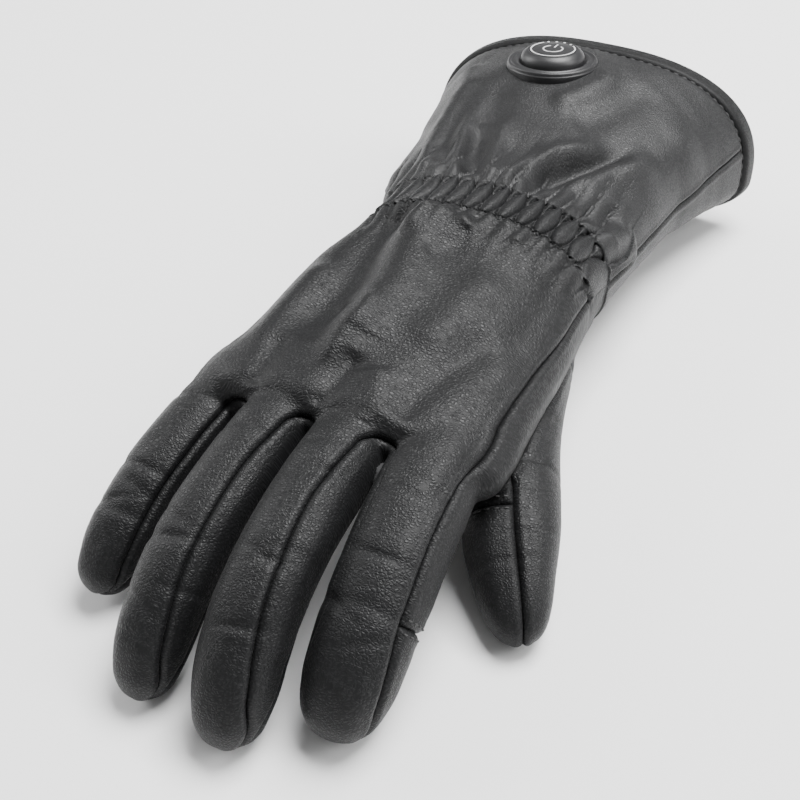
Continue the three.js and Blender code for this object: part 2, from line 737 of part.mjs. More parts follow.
const buttonDome = dome.subtract(faceHole).subtract(cuffGrown);

// The hem's underside is trimmed level with the fingertips, so the glove lies flat.
const resting = [palmPanel, indexTip, thumbBack, thumbTip];
const floorAt = Math.min(...resting.map((body) => body.boundingBox().min[2]));
const under = -reach;
const corner = (x, y, z) => new THREE.Vector3(x, y, z);
const floorBlock = slab([cuffLength * 2, -cuffLength].map((y) => [-palmWidth, palmWidth].map((x) => (
  { low: corner(x, y, under), high: corner(x, y, floorAt) }))));
const cuffBinding = bindingRing.subtract(floorBlock);

// Finish
const leather = { color: 0x3a3b3d, roughness: 0.56, metalness: 0 };
const palmLeather = { color: 0x38393b, roughness: 0.58, metalness: 0 };
const cuffLeather = { color: 0x3d3e40, roughness: 0.6, metalness: 0 };
const rubber = { color: 0x1b1c1d, roughness: 0.5, metalness: 0 };
const print = { color: 0x2a2b2c, roughness: 0.45, metalness: 0 };

const pieces = [
  { name: 'back_panel', body: backPanel, finish: leather },
  { name: 'palm_panel', body: palmPanel, finish: palmLeather },
  ...strips.map(({ name, body }) => ({ name, body, finish: leather })),
  { name: 'index_touch_tip', body: indexTip, finish: palmLeather },
  { name: 'thumb_back', body: thumbBack, finish: leather },
  { name: 'thumb_front', body: thumbFront, finish: palmLeather },
  { name: 'thumb_touch_tip', body: thumbTip, finish: palmLeather },
  { name: 'gathered_wrist', body: wristGathers, finish: leather },
  { name: 'cuff_back', body: cuffBack, finish: cuffLeather },
  { name: 'cuff_underside', body: cuffUnderside, finish: cuffLeather },
  { name: 'cuff_binding', body: cuffBinding, finish: cuffLeather },
  { name: 'button_flange', body: buttonFlange, finish: rubber },
  { name: 'button_dome', body: buttonDome, finish: rubber },
  { name: 'button_face', body: face, finish: print },
];

// A cut can leave a splinter beside its piece. Only the largest set of faces that meet edge to
// edge is kept, with the corners that it uses.
function mainBody(vertices, faces) {
  const numbers = new Map();
  const merged = Array.from({ length: vertices.length / 3 }, (_, i) => {
    const key = vertices.slice(3 * i, 3 * i + 3).join();
    if (!numbers.has(key)) numbers.set(key, numbers.size);
    return numbers.get(key);
  });
  const count = faces.length / 3;
  const owner = Array.from({ length: count }, (_, i) => i);
  const find = (face) => {
    let root = face;
    while (owner[root] !== root) root = owner[root];
    owner[face] = root;
    return root;
  };
  const edges = new Map();
  for (let face = 0; face < count; face += 1) {
    for (let k = 0; k < 3; k += 1) {
      const ends = [merged[faces[3 * face + k]], merged[faces[3 * face + ((k + 1) % 3)]]];
      const key = ends.sort((a, b) => a - b).join();
      if (edges.has(key)) owner[find(face)] = find(edges.get(key));
      edges.set(key, face);
    }
  }
  const sets = new Map();
  for (let face = 0; face < count; face += 1) {
    const root = find(face);
    sets.set(root, [...(sets.get(root) ?? []), ...faces.slice(3 * face, 3 * face + 3)]);
  }
  const kept = [...sets.values()].reduce((best, set) => (set.length > best.length ? set : best));
  const used = [...new Set(kept)];
  const place = new Map(used.map((old, i) => [old, i]));
  return {
    corners: used.flatMap((i) => [vertices[3 * i], vertices[3 * i + 1], vertices[3 * i + 2]]),
    triangles: kept.map((i) => place.get(i)),
  };
}

const glove = new THREE.Group();
glove.name = 'heated_glove';
for (const { name, body, finish } of pieces) {
  const { vertProperties, triVerts } = body.getMesh();
  const { corners, triangles } = mainBody(vertProperties, triVerts);
  const geometry = new THREE.BufferGeometry();
  geometry.setAttribute('position', new THREE.BufferAttribute(new Float32Array(corners), 3));
  geometry.setIndex(triangles);
  geometry.computeVertexNormals();
  const mesh = new THREE.Mesh(geometry, new THREE.MeshStandardMaterial(finish));
  mesh.name = name;
  glove.add(mesh);
}
const bounds = new THREE.Box3().setFromObject(glove);
const middle = bounds.getCenter(new THREE.Vector3());
glove.children.forEach((mesh) => mesh.geometry.translate(-middle.x, -middle.y, -bounds.min.z));

export default glove;
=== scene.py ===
import math

import bpy
import numpy as np
from mathutils import Matrix, Vector
from mathutils.bvhtree import BVHTree
from mathutils.kdtree import KDTree


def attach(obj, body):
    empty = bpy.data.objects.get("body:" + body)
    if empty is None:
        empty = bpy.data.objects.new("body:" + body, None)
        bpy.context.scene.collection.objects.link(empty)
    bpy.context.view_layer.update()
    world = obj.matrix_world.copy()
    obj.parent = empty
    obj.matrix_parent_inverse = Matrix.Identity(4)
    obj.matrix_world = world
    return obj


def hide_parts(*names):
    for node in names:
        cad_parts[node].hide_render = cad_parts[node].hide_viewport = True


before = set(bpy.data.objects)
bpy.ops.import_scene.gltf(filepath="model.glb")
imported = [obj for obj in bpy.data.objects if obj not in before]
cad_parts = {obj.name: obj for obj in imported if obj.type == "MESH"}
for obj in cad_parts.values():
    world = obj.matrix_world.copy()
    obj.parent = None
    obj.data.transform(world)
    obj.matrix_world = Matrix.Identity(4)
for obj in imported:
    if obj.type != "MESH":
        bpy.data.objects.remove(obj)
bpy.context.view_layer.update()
print("frame loaded")

milli = 0.001

glove = {
    "cuffLength": 121.8,
    "handLength": 100.0,
    "palmWidth": 113.0,
    "wristHeight": 61.0,
    "knuckleArch": 17.5,
    "archStart": -0.186,  # share of the hand length where the arch over the knuckles begins
    "archRun": 0.837,
    "archFlatness": 2.08,
    "fingerLength": 110.4,
    "fingerWidth": 32.0,
    "thumbLength": 109.0,
    "thumbWidth": 31.5,
    "spineHeight": 46.0,
    "restTilt": -5.45,
    "halfGather": 8.5,
    "bindingWidth": 9.0,
    "handSquareness": 2.5,
    "cuffUnderSquareness": 2.1,
    "fingerSquareness": 2.3,
    "frameShift": (7.2095, -32.7913, 11.6625),  # from the form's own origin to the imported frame
}

# Camera at the photograph's angle, with the roll of the glove's rest tilt
cameraForm = {
    "scale": 0.93, "azimuth": 27.18378, "elevation": 38.50184, "distance": 434.0761,
    "target": (11.336, -80.088, 45.0), "focal": 1233.3767, "pivotHeight": 50.0, "sensor": 36.0, "image": 800,
}


def placeCamera():
    look = cameraForm
    azimuth, elevation = math.radians(look["azimuth"]), math.radians(look["elevation"])
    back = np.array([math.sin(azimuth) * math.cos(elevation), -math.cos(azimuth) * math.cos(elevation),
                     math.sin(elevation)])
    right = np.array([math.cos(azimuth), math.sin(azimuth), 0])
    up = np.cross(back, right)
    centre = np.array(look["target"]) * look["scale"] + back * look["distance"] * look["scale"]
    tilt = np.array(Matrix.Rotation(math.radians(glove["restTilt"]), 3, "X"))
    pivot = np.array([0, 0, look["pivotHeight"] * look["scale"]])
    centre = tilt @ (centre - pivot) + np.array([0, 0, glove["spineHeight"]]) - np.array(glove["frameShift"])
    data = bpy.data.cameras.new("camera")
    data.sensor_width = look["sensor"]
    data.sensor_fit = "HORIZONTAL"
    data.lens = look["focal"] / look["image"] * look["sensor"]
    data.clip_start = 0.02
    data.clip_end = 30
    camera = bpy.data.objects.new("camera", data)
    bpy.context.scene.collection.objects.link(camera)
    axes = np.stack([tilt @ right, tilt @ up, tilt @ back], axis=1)
    place = np.eye(4)
    place[:3, :3] = axes
    place[:3, 3] = centre * milli
    camera.matrix_world = Matrix(place.tolist())
    bpy.context.scene.camera = camera


placeCamera()
print("camera")

# Sections from hem to knuckles: place, sideways shift, half width, height above and below
sections = np.array([
    (-1.06, 0.036, 0.622, 0.7, 0.36),
    (-1, 0.036, 0.62, 0.705, 0.36),
    (-0.72, 0.032, 0.54, 0.66, 0.38),
    (-0.458, 0.026, 0.475, 0.545, 0.42),
    (-0.229, 0.023, 0.45, 0.506, 0.43),
    (0, 0.056, 0.393, 0.54, 0.459),
    (0.372, 0.026, 0.455, 0.433, 0.393),
    (0.744, 0.027, 0.472, 0.322, 0.305),
    (0.92, 0.008, 0.498, 0.258, 0.25),
    (1.1, 0, 0.49, 0.215, 0.215),
])
spineSlope = np.array([
    (-1, -8.3), (-0.764, -3.95), (-0.305, 2.19), (0.186, 2.38), (0.744, -1.12), (1.023, 7.03), (1.4, 19),
])
# Side seams: place, height on the little finger's side and on the thumb's side
sideSeams = np.array([
    (-1, 0.2, 0.42), (-0.5, 0.2, 0.12), (-0.1, 0.22, 0.08), (0, 0.25, 0.2),
    (0.3, 0.4, 0.4), (0.6, 0.45, 0.6), (0.85, 0.5, 0.64), (1.02, 0.44, 0.52),
])
# Digits: places and sizes as shares, angles in degrees, seams as shares of half the thickness
digitTable = {
    "little": {"across": -0.372, "start": 0.856, "length": 0.799, "width": 0.73, "thick": 0.95,
               "yaw": -9.9, "roll": -2.4, "pitch": (10.8, 22, 46), "seams": (0.5, 0.56)},
    "ring": {"across": -0.143, "start": 0.921, "length": 0.995, "width": 0.78, "thick": 0.95,
             "yaw": -4.8, "roll": 5, "pitch": (-0.6, 19, 57.5), "seams": (0.55, 0.8)},
    "middle": {"across": 0.075, "start": 0.939, "length": 1.01, "width": 0.85, "thick": 0.95,
               "yaw": -0.7, "roll": 10.5, "pitch": (-3.4, 18.4, 57), "seams": (0.58, 0.84)},
    "index": {"across": 0.316, "start": 0.902, "length": 0.885, "width": 0.95, "thick": 0.94,
              "yaw": 3.8, "roll": 3.7, "pitch": (0, 22.8, 55.5), "seams": (0.6, 0.68)},
}
thumbTable = {"across": 0.335, "start": 0.27, "drop": 0.175, "thick": 0.95,
              "yaw": 12.5, "roll": 0, "pitch": (6, 8.2, 16.4), "turn": (0, 10, 24)}
# Width along a digit: place from root to tip, share of the full width
fingerSwell = np.array([(0, 0.94), (0.3, 1), (0.6, 1), (0.8, 0.95), (0.92, 0.78), (0.97, 0.55), (1, 0.12)])
thumbSwell = np.array([
    (-0.26, 0.15), (-0.2, 0.52), (-0.1, 0.86), (0, 1), (0.62, 1),
    (0.84, 0.77), (0.92, 0.62), (0.974, 0.4), (1, 0.1),
])
# How far the seams of a finger lie from its middle, growing and closing along it
seamClosing = np.array([
    (0, 0.74), (0.12, 0.84), (0.35, 1), (0.6, 0.95), (0.85, 0.7), (0.95, 0.3), (1.1, 0.2),
])
stripForm = {"drop": 0.5, "end": 0.985, "from": 88.0}  # the strips between the fingers
touchTipShare = 0.63


def readTable(places, values, at):
    # smooth monotone curve through a table's column
    at = np.clip(np.asarray(at, float), places[0], places[-1])
    run = np.diff(places)
    rise = np.diff(values) / run
    slope = np.empty(len(values))
    slope[0], slope[-1] = rise[0], rise[-1]
    product = rise[:-1] * rise[1:]
    total = np.where(product > 0, rise[:-1] + rise[1:], 1)
    slope[1:-1] = np.where(product > 0, 2 * product / total, 0)
    k = np.clip(np.searchsorted(places, at, side="right") - 1, 0, len(run) - 1)
    t = (at - places[k]) / run[k]
    curve = (2 * t - 3) * t * t
    bend = (1 - t) * slope[k] - t * slope[k + 1]
    return values[k] * (1 + curve) - values[k + 1] * curve + run[k] * t * (1 - t) * bend


def placeOf(s):
    return np.where(s < 0, s / glove["cuffLength"], s / glove["handLength"])


def pitchAt(s):
    return np.radians(readTable(spineSlope[:, 0], spineSlope[:, 1], placeOf(s)) + glove["restTilt"])


spineStep, spineReach = 0.5, 140
spineWalk = np.arange(-spineReach, spineReach + spineStep, spineStep)
spineMiddles = spineWalk[:-1] + spineStep / 2
spineY = np.concatenate([[0], np.cumsum(-np.cos(pitchAt(spineMiddles)) * spineStep)])
spineZ = np.concatenate([[0], np.cumsum(-np.sin(pitchAt(spineMiddles)) * spineStep)])
wristIndex = int(np.argmin(np.abs(spineWalk)))
spineY -= spineY[wristIndex]
spineZ += glove["spineHeight"] - spineZ[wristIndex]


def sectionAt(s):
    s = np.asarray(s, float)
    at = placeOf(s)
    ramp = np.clip((s / glove["handLength"] - glove["archStart"]) / glove["archRun"], 0, 1)
    flatness = glove["palmWidth"] ** 2 / glove["archFlatness"]
    column = {name: readTable(sections[:, 0], sections[:, i + 1], at)
              for i, name in enumerate(("shift", "half", "up", "down"))}
    return {
        "y": np.interp(s, spineWalk, spineY),
        "z": np.interp(s, spineWalk, spineZ),
        "pitch": pitchAt(s),
        "shift": column["shift"] * glove["palmWidth"],
        "half": column["half"] * glove["palmWidth"],
        "up": column["up"] * glove["wristHeight"],
        "down": column["down"] * glove["wristHeight"],
        "bend": np.maximum(ramp * glove["knuckleArch"] / flatness, 1e-7),
        "under": np.where(s < 0, glove["cuffUnderSquareness"], glove["handSquareness"]),
    }


def placeOn(s, x, h):
    # a point of the glove from its place along, across and its height, bent over the knuckles
    cut = sectionAt(s)
    turn = x * cut["bend"]
    across = np.sin(turn) * (1 / cut["bend"] + h)
    rise = (np.cos(turn) - 1) / cut["bend"] + h * np.cos(turn)
    return np.stack([
        across,
        cut["y"] - rise * np.sin(cut["pitch"]),
        cut["z"] + rise * np.cos(cut["pitch"]),
    ], axis=-1)


def findOn(points, rounds=12):
    # the other way round: s, x and h of points in space, closer with each round
    s = -points[:, 1].copy()
    for _ in range(rounds):
        pitch = pitchAt(s)
        dy = points[:, 1] - np.interp(s, spineWalk, spineY)
        dz = points[:, 2] - np.interp(s, spineWalk, spineZ)
        s = np.clip(s - dy * np.cos(pitch) - dz * np.sin(pitch), 1 - spineReach, spineReach - 1)
    cut = sectionAt(s)
    dy = points[:, 1] - cut["y"]
    dz = points[:, 2] - cut["z"]
    rise = -dy * np.sin(cut["pitch"]) + dz * np.cos(cut["pitch"])
    radius = np.hypot(points[:, 0], 1 / cut["bend"] + rise)
    turn = np.arctan2(points[:, 0], 1 / cut["bend"] + rise)
    return s, turn / cut["bend"], radius - 1 / cut["bend"]


def unit(v):
    return v / np.linalg.norm(v)


digitSteps, digitReach = 96, 1.25  # stations in a digit's length, and how far they run past its tip


def makeDigit(table, length, width, swell):
    startAt = table["start"] * glove["handLength"]
    x = table["across"] * glove["palmWidth"]
    drop = -table.get("drop", 0) * glove["wristHeight"]
    place = placeOn(startAt, x, drop)
    forward = unit(placeOn(startAt + 1, x, drop) - place)
    side = placeOn(startAt, x + 1, drop) - place
    side = unit(side - forward * side.dot(forward))
    up = -np.cross(side, forward)
    if up[2] < 0:
        up = -up
    yaw, roll = math.radians(table["yaw"]), math.radians(table["roll"])
    heading = forward * math.cos(yaw) + side * math.sin(yaw)
    side = side * math.cos(yaw) - forward * math.sin(yaw)
    across = side * math.cos(roll) + up * math.sin(roll)
    up = up * math.cos(roll) - side * math.sin(roll)
    digit = {"size": length, "a": width / 2, "b": width * table["thick"] / 2,
             "heading": heading, "across": across, "up": up, "swell": swell, "startAt": startAt,
             "x": x, "pitch": table["pitch"], "turn": table.get("turn", (0, 0, 0)),
             "seams": table.get("seams", (0, 0)), "from": swell[0, 0]}
    middles = (np.arange(int(digitSteps * digitReach)) + 0.5) / digitSteps
    along = digitAxes(digit, middles)[0]
    digit["stations"] = np.vstack([place, place + np.cumsum(along * length / digitSteps, axis=0)])
    digit["stationAt"] = np.arange(len(digit["stations"])) / digitSteps
    return digit


def digitAxes(digit, at):
    at = np.clip(at, 0, 1)
    turn = np.radians(np.interp(at, (0, 0.5, 1), digit["turn"]))[:, None]
    pitch = np.radians(np.interp(at, (0, 0.5, 1), digit["pitch"]))[:, None]
    level = digit["heading"] * np.cos(turn) + digit["across"] * np.sin(turn)
    along = level * np.cos(pitch) - digit["up"] * np.sin(pitch)
    across = digit["across"] * np.cos(turn) - digit["heading"] * np.sin(turn)
    up = level * np.sin(pitch) + digit["up"] * np.cos(pitch)
    return along, across, up


def digitPlace(digit, at):
    place = np.stack([np.interp(at, digit["stationAt"], digit["stations"][:, k]) for k in range(3)], -1)
    behind = np.minimum(at, 0)[:, None] * digit["size"]
    return place + digit["heading"] * behind


def findOnDigit(digit, points, rounds=14):
    # share along a digit, and the places across it and above its middle
    at = np.clip((points - digit["stations"][0]) @ digit["heading"] / digit["size"], -0.5, 1.2)
    for _ in range(rounds):
        along = digitAxes(digit, at)[0]
        step = np.sum((points - digitPlace(digit, at)) * along, axis=1) / digit["size"]
        at = np.clip(at + step, -0.6, 1.22)
    _, across, up = digitAxes(digit, at)
    off = points - digitPlace(digit, at)
    return at, np.sum(off * across, axis=1), np.sum(off * up, axis=1)


def power(value, exponent):
    return np.sign(value) * np.abs(value) ** exponent


def digitSurface(digit, at, angle, grow=0.0):
    # points round a digit: angle 0 on its top, growing towards the thumb side
    swell = readTable(digit["swell"][:, 0], digit["swell"][:, 1], at)
    square = 2 / glove["fingerSquareness"]
    x = (digit["a"] * swell + grow) * power(np.sin(angle), square)
    h = (digit["b"] * swell + grow) * power(np.cos(angle), square)
    _, across, up = digitAxes(digit, at)
    return digitPlace(digit, at) + across * x[:, None] + up * h[:, None]


digits = [makeDigit(row, row["length"] * glove["fingerLength"], row["width"] * glove["fingerWidth"],
                    fingerSwell) for row in digitTable.values()]
thumb = makeDigit(thumbTable, glove["thumbLength"], glove["thumbWidth"], thumbSwell)
allDigits = [*digits, thumb]
print("form ready")

# Mesh helpers. A skin is a dictionary of points, triangles, values at points and a label per face.
floorGap = 0.02


def toFrame(points):
    # from the glove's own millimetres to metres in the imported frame, kept above the floor
    shifted = (points - np.array(glove["frameShift"])) * milli
    shifted[:, 2] = np.maximum(shifted[:, 2], floorGap * milli)
    return shifted


def makePiece(name, points, faces, material, values=None, smooth=True):
    mesh = bpy.data.meshes.new(name)
    mesh.from_pydata(points.tolist(), [], faces.tolist())
    for key, data in (values or {}).items():
        layer = mesh.attributes.new(key, "FLOAT_VECTOR", "POINT")
        layer.data.foreach_set("vector", data.astype(np.float32).ravel())
    mesh.polygons.foreach_set("use_smooth", [smooth] * len(mesh.polygons))
    mesh.update()
    piece = bpy.data.objects.new(name, mesh)
    bpy.context.scene.collection.objects.link(piece)
    if material:
        mesh.materials.append(material)
    return piece


def bake(piece):
    # modifiers become mesh
    graph = bpy.context.evaluated_depsgraph_get()
    mesh = bpy.data.meshes.new_from_object(piece.evaluated_get(graph))
    piece.modifiers.clear()
    old = piece.data
    piece.data = mesh
    bpy.data.meshes.remove(old)
    mesh.name = piece.name
    return piece


def faceNormals(points, faces):
    return np.cross(points[faces[:, 1]] - points[faces[:, 0]], points[faces[:, 2]] - points[faces[:, 0]])


def pointNormals(points, faces):
    flat = faceNormals(points, faces)
    out = np.zeros_like(points)
    for corner in range(3):
        for axis in range(3):
            out[:, axis] += np.bincount(faces[:, corner], flat[:, axis], len(points))
    return out / np.maximum(np.linalg.norm(out, axis=1), 1e-12)[:, None]


def sidesOf(faces):
    return np.vstack([faces[:, [0, 1]], faces[:, [1, 2]], faces[:, [2, 0]]])


def edgePairs(faces):
    return np.unique(np.sort(sidesOf(faces), axis=1), axis=0)


def gridFaces(rows, columns, looped=False):
    # triangles between neighbouring rings of points, and from the last to the first if looped
    column = np.arange(columns)
    after = (column + 1) % columns
    faces = []
    for row in range(rows if looped else rows - 1):
        low, high = row * columns, (row + 1) % rows * columns
        faces.append(np.stack([low + column, low + after, high + after], 1))
        faces.append(np.stack([low + column, high + after, high + column], 1))
    return np.vstack(faces)


def closedTube(rings):
    # rings of points joined, with a fan over each end
    count = rings.shape[1]
    points = np.vstack([rings.reshape(-1, 3), rings[0].mean(axis=0), rings[-1].mean(axis=0)])
    column = np.arange(count)
    after = (column + 1) % count
    first, last = len(points) - 2, len(points) - 1
    end = (len(rings) - 1) * count
    faces = np.vstack([
        gridFaces(len(rings), count),
        np.stack([np.full(count, first), after, column], 1),
        np.stack([np.full(count, last), end + column, end + after], 1),
    ])
    a, b, c = (points[faces[:, k]] for k in range(3))
    if np.sum(a * np.cross(b, c)) < 0:
        faces = faces[:, ::-1]
    return points, faces


def joinMeshes(parts):
    starts = np.cumsum([0] + [len(points) for points, _ in parts[:-1]])
    return np.vstack([part[0] for part in parts]), np.vstack([part[1] + k for part, k in zip(parts, starts)])


def relax(values, pairs, rounds, amount=0.5, back=None):
    # each round moves a value towards the mean of its neighbours, and back if asked
    values = values.reshape(len(values), -1).copy()
    count = len(values)
    share = np.maximum(np.bincount(pairs.ravel(), minlength=count).astype(float), 1)
    amount = np.broadcast_to(np.asarray(amount, float).reshape(-1, 1), (count, 1))
    for _ in range(rounds):
        for factor in ([1] if back is None else [1, back]):
            mean = np.stack([
                np.bincount(pairs[:, 0], column[pairs[:, 1]], count)
                + np.bincount(pairs[:, 1], column[pairs[:, 0]], count)
                for column in values.T], axis=-1) / share[:, None]
            values = values + (mean - values) * amount * factor
    return values


def cutSkin(skin, field, least=1e-4):
    # splits every triangle that the field changes sign in
    points, faces, data, label = skin["points"], skin["faces"], skin["data"], skin["label"]
    value = np.where(np.abs(field) < least, least, field)
    positive = value[faces] > 0
    count = positive.sum(axis=1)
    mixed = (count == 1) | (count == 2)
    work = faces[mixed]
    lone = np.where(count[mixed, None] == 1, positive[mixed], ~positive[mixed]).argmax(axis=1)
    rows = np.arange(len(work))
    a, b, c = (work[rows, (lone + k) % 3] for k in range(3))
    ends = np.sort(np.vstack([np.stack([a, b], 1), np.stack([a, c], 1)]), axis=1)
    keys, back = np.unique(ends[:, 0] * len(points) + ends[:, 1], return_inverse=True)
    first, second = keys // len(points), keys % len(points)
    t = value[first] / (value[first] - value[second])

    def lerp(array):
        return array[first] + (array[second] - array[first]) * t.reshape(-1, *[1] * (array.ndim - 1))

    ab = back[:len(work)] + len(points)
    ac = back[len(work):] + len(points)
    made = np.vstack([np.stack([a, ab, ac], 1), np.stack([ab, b, c], 1), np.stack([ab, c, ac], 1)])
    return {
        "points": np.vstack([points, lerp(points)]),
        "faces": np.vstack([faces[~mixed], made]),
        "data": {key: np.concatenate([array, lerp(array)]) for key, array in data.items()},
        "label": np.concatenate([label[~mixed], np.tile(label[mixed], 3)]),
    }


def weldShort(skin, size, rounds=5):
    # joins points closer than size so that no sliver is left; points on a seam keep their place
    keep = np.zeros(len(skin["points"]), bool)
    keep[borderEdges(skin["faces"], skin["label"])] = True
    points, faces, label = skin["points"], skin["faces"], skin["label"]
    for _ in range(rounds):
        pairs = edgePairs(faces)
        length = np.linalg.norm(points[pairs[:, 0]] - points[pairs[:, 1]], axis=1)
        pairs = pairs[length < size][np.argsort(length[length < size])]
        rank = np.arange(len(pairs))
        best = np.full(len(points), len(pairs))
        for side in range(2):
            np.minimum.at(best, pairs[:, side], rank)
        a, b = pairs[(best[pairs[:, 0]] == rank) & (best[pairs[:, 1]] == rank)].T
        swap = keep[b] & ~keep[a]
        target = np.arange(len(points))
        target[np.where(swap, a, b)] = np.where(swap, b, a)
        faces = target[faces]
        whole = (faces[:, 0] != faces[:, 1]) & (faces[:, 1] != faces[:, 2]) & (faces[:, 2] != faces[:, 0])
        faces, label = faces[whole], label[whole]
    # two faces left back to back on the same three points go
    _, same, times = np.unique(np.sort(faces, axis=1), axis=0, return_inverse=True, return_counts=True)
    single = times[same.ravel()] == 1
    faces, label = faces[single], label[single]
    used, back = np.unique(faces, return_inverse=True)
    return {"points": points[used], "faces": back.reshape(-1, 3), "label": label,
            "data": {key: array[used] for key, array in skin["data"].items()}}


def borderEdges(faces, label, sewn=False):
    # edges between faces of different labels, or only those between two pieces that stay
    pairs = np.sort(sidesOf(faces), axis=1)
    owner = np.tile(np.arange(len(faces)), 3)
    order = np.lexsort((pairs[:, 1], pairs[:, 0]))
    pairs, owner = pairs[order], owner[order]
    same = np.all(pairs[1:] == pairs[:-1], axis=1)
    k = np.nonzero(same)[0]
    k = k[label[owner[k]] != label[owner[k + 1]]]
    if sewn:
        k = k[(label[owner[k]] >= 0) & (label[owner[k + 1]] >= 0)]
    return pairs[k]


def distanceTo(points, linePoints, lineEdges, far=9.0):
    # distance of points to a net of short lines
    used = np.unique(lineEdges)
    tree = KDTree(len(used))
    for i in used:
        tree.insert(linePoints[i], int(i))
    tree.balance()
    near = {}
    for i, j in lineEdges:
        near.setdefault(int(i), []).append(int(j))
        near.setdefault(int(j), []).append(int(i))
    links = np.array([(near[i] + [i, i])[:2] if i in near else (i, i) for i in range(len(linePoints))])
    found = np.full(len(points), -1)
    gap = np.full(len(points), far)
    for row, point in enumerate(points):
        _, index, distance = tree.find(point)
        if distance < far:
            found[row] = index
            gap[row] = distance
    rows = np.nonzero(found >= 0)[0]
    p, start = points[rows], linePoints[found[rows]]
    for side in range(2):
        line = linePoints[links[found[rows], side]] - start
        length = np.maximum(np.sum(line * line, axis=1), 1e-9)
        t = np.clip(np.sum((p - start) * line, axis=1) / length, 0, 1)
        gap[rows] = np.minimum(gap[rows], np.linalg.norm(p - start - line * t[:, None], axis=1))
    return gap


def rolledEdge(distance, depth, radius):
    # leather turned in at a seam: round shoulders that drop steeply into the line
    near = np.clip(1 - distance / radius, 0, 1)
    return -depth * (1 - np.sqrt(1 - near * near))


def strokes(x, y, table):
    # ridges and hollows drawn as strokes: path, width, height, lean (one side higher), and the
    # shares of the path over which a stroke fades in and out
    out = np.zeros(len(x))
    for row in table:
        path = np.array(row["path"], float)
        best = np.full(len(x), 1e9)
        side = np.zeros(len(x))
        share = np.zeros(len(x))
        lengths = np.hypot(*np.diff(path, axis=0).T)
        total = lengths.sum()
        walked = 0.0
        for start, end, length in zip(path[:-1], path[1:], lengths):
            dx, dy = (end - start) / length
            t = np.clip((x - start[0]) * dx + (y - start[1]) * dy, 0, length)
            ox, oy = x - start[0] - dx * t, y - start[1] - dy * t
            distance = np.hypot(ox, oy)
            closer = distance < best
            best = np.where(closer, distance, best)
            side = np.where(closer, np.sign(ox * -dy + oy * dx), side)
            share = np.where(closer, (walked + t) / total, share)
            walked += length
        fade = np.clip(np.minimum(share / row.get("in", 0.2), (1 - share) / row.get("out", 0.25)), 0, 1)
        fade = fade * fade * (3 - 2 * fade)
        across = best / row["width"]
        shape = np.exp(-across * across)
        lean = row.get("lean", 0) * side * across * np.exp(-0.5 * across * across)
        out += row["height"] * fade * (shape + lean)
    return out


# The glove's body and its digits as one skin, a little slimmer than the glove until its relief is added
skinForm = {
    "voxel": 0.89, "slim": 0.9,
    "rings": 150, "ringStep": 2, "start": -14, "shoulder": 96, "crown": 8.5, "crownDrop": 8, "crownRings": 9,
    "digitRings": 46, "rootRings": 10, "digitColumns": 72,
    "taubin": (0.55, -1.04), "taubinRounds": 7,  # smooths without shrinking
    "crotch": 2.2, "crotchRounds": 24,           # softens the hollows between the fingers
    "handEnd": 104,
}


def turnsOf(count):
    return np.linspace(0, 2 * math.pi, count, endpoint=False)


def handRings(places, grows):
    count = skinForm["rings"]
    angle = turnsOf(count)
    rings = []
    for s, grow in zip(places, grows):
        cut = sectionAt(s)
        square = np.where(np.cos(angle) > 0, glove["handSquareness"], cut["under"])
        x = (cut["half"] + grow) * power(np.sin(angle), 2 / square)
        tall = np.where(np.cos(angle) > 0, cut["up"], cut["down"]) + grow
        h = tall * power(np.cos(angle), 2 / square)
        rings.append(placeOn(np.full(count, s), x + cut["shift"], h))
    return np.array(rings)


def unionSkin():
    # tubes for the body and for each digit, made one skin by a voxel remesh
    look, slim = skinForm, -skinForm["slim"]
    bow = np.linspace(0, math.pi / 2, look["crownRings"])
    straight = np.arange(look["start"], look["shoulder"] - 1, look["ringStep"])
    places = np.concatenate([straight, look["shoulder"] + look["crown"] * np.sin(bow)])
    grows = np.concatenate([np.full(len(straight), slim), slim - look["crownDrop"] * (1 - np.cos(bow))])
    tubes = [closedTube(handRings(places, grows))]
    tipCuts = np.sin(np.linspace(0, math.pi / 2, look["digitRings"]))
    angle = turnsOf(look["digitColumns"])
    for digit in allDigits:
        hasRoot = digit["from"] < 0
        rootCuts = np.linspace(digit["from"], 0, look["rootRings"], endpoint=False) if hasRoot else []
        rings = [digitSurface(digit, np.full(len(angle), at), angle, slim) for at in [*rootCuts, *tipCuts]]
        tubes.append(closedTube(np.array(rings)))
    block = makePiece("gloveBlock", *joinMeshes(tubes), None)
    remesh = block.modifiers.new("union", "REMESH")
    remesh.mode = "VOXEL"
    remesh.voxel_size = look["voxel"]
    bake(block)
    mesh = block.data
    out = np.empty(len(mesh.vertices) * 3)
    mesh.vertices.foreach_get("co", out)
    out = out.reshape(-1, 3)
    mesh.calc_loop_triangles()
    triangles = np.empty(len(mesh.loop_triangles) * 3, int)
    mesh.loop_triangles.foreach_get("vertices", triangles)
    bpy.data.objects.remove(block)
    bpy.data.meshes.remove(mesh)
    return out, triangles.reshape(-1, 3)


def superDistance(x, h, a, b, square):
    # roughly how far outside a rounded section a point lies
    a, b = np.maximum(a, 0.5), np.maximum(b, 0.5)
    radius = (np.abs(x / a) ** square + np.abs(h / b) ** square) ** (1 / square)
    return (radius - 1) * np.minimum(a, b)


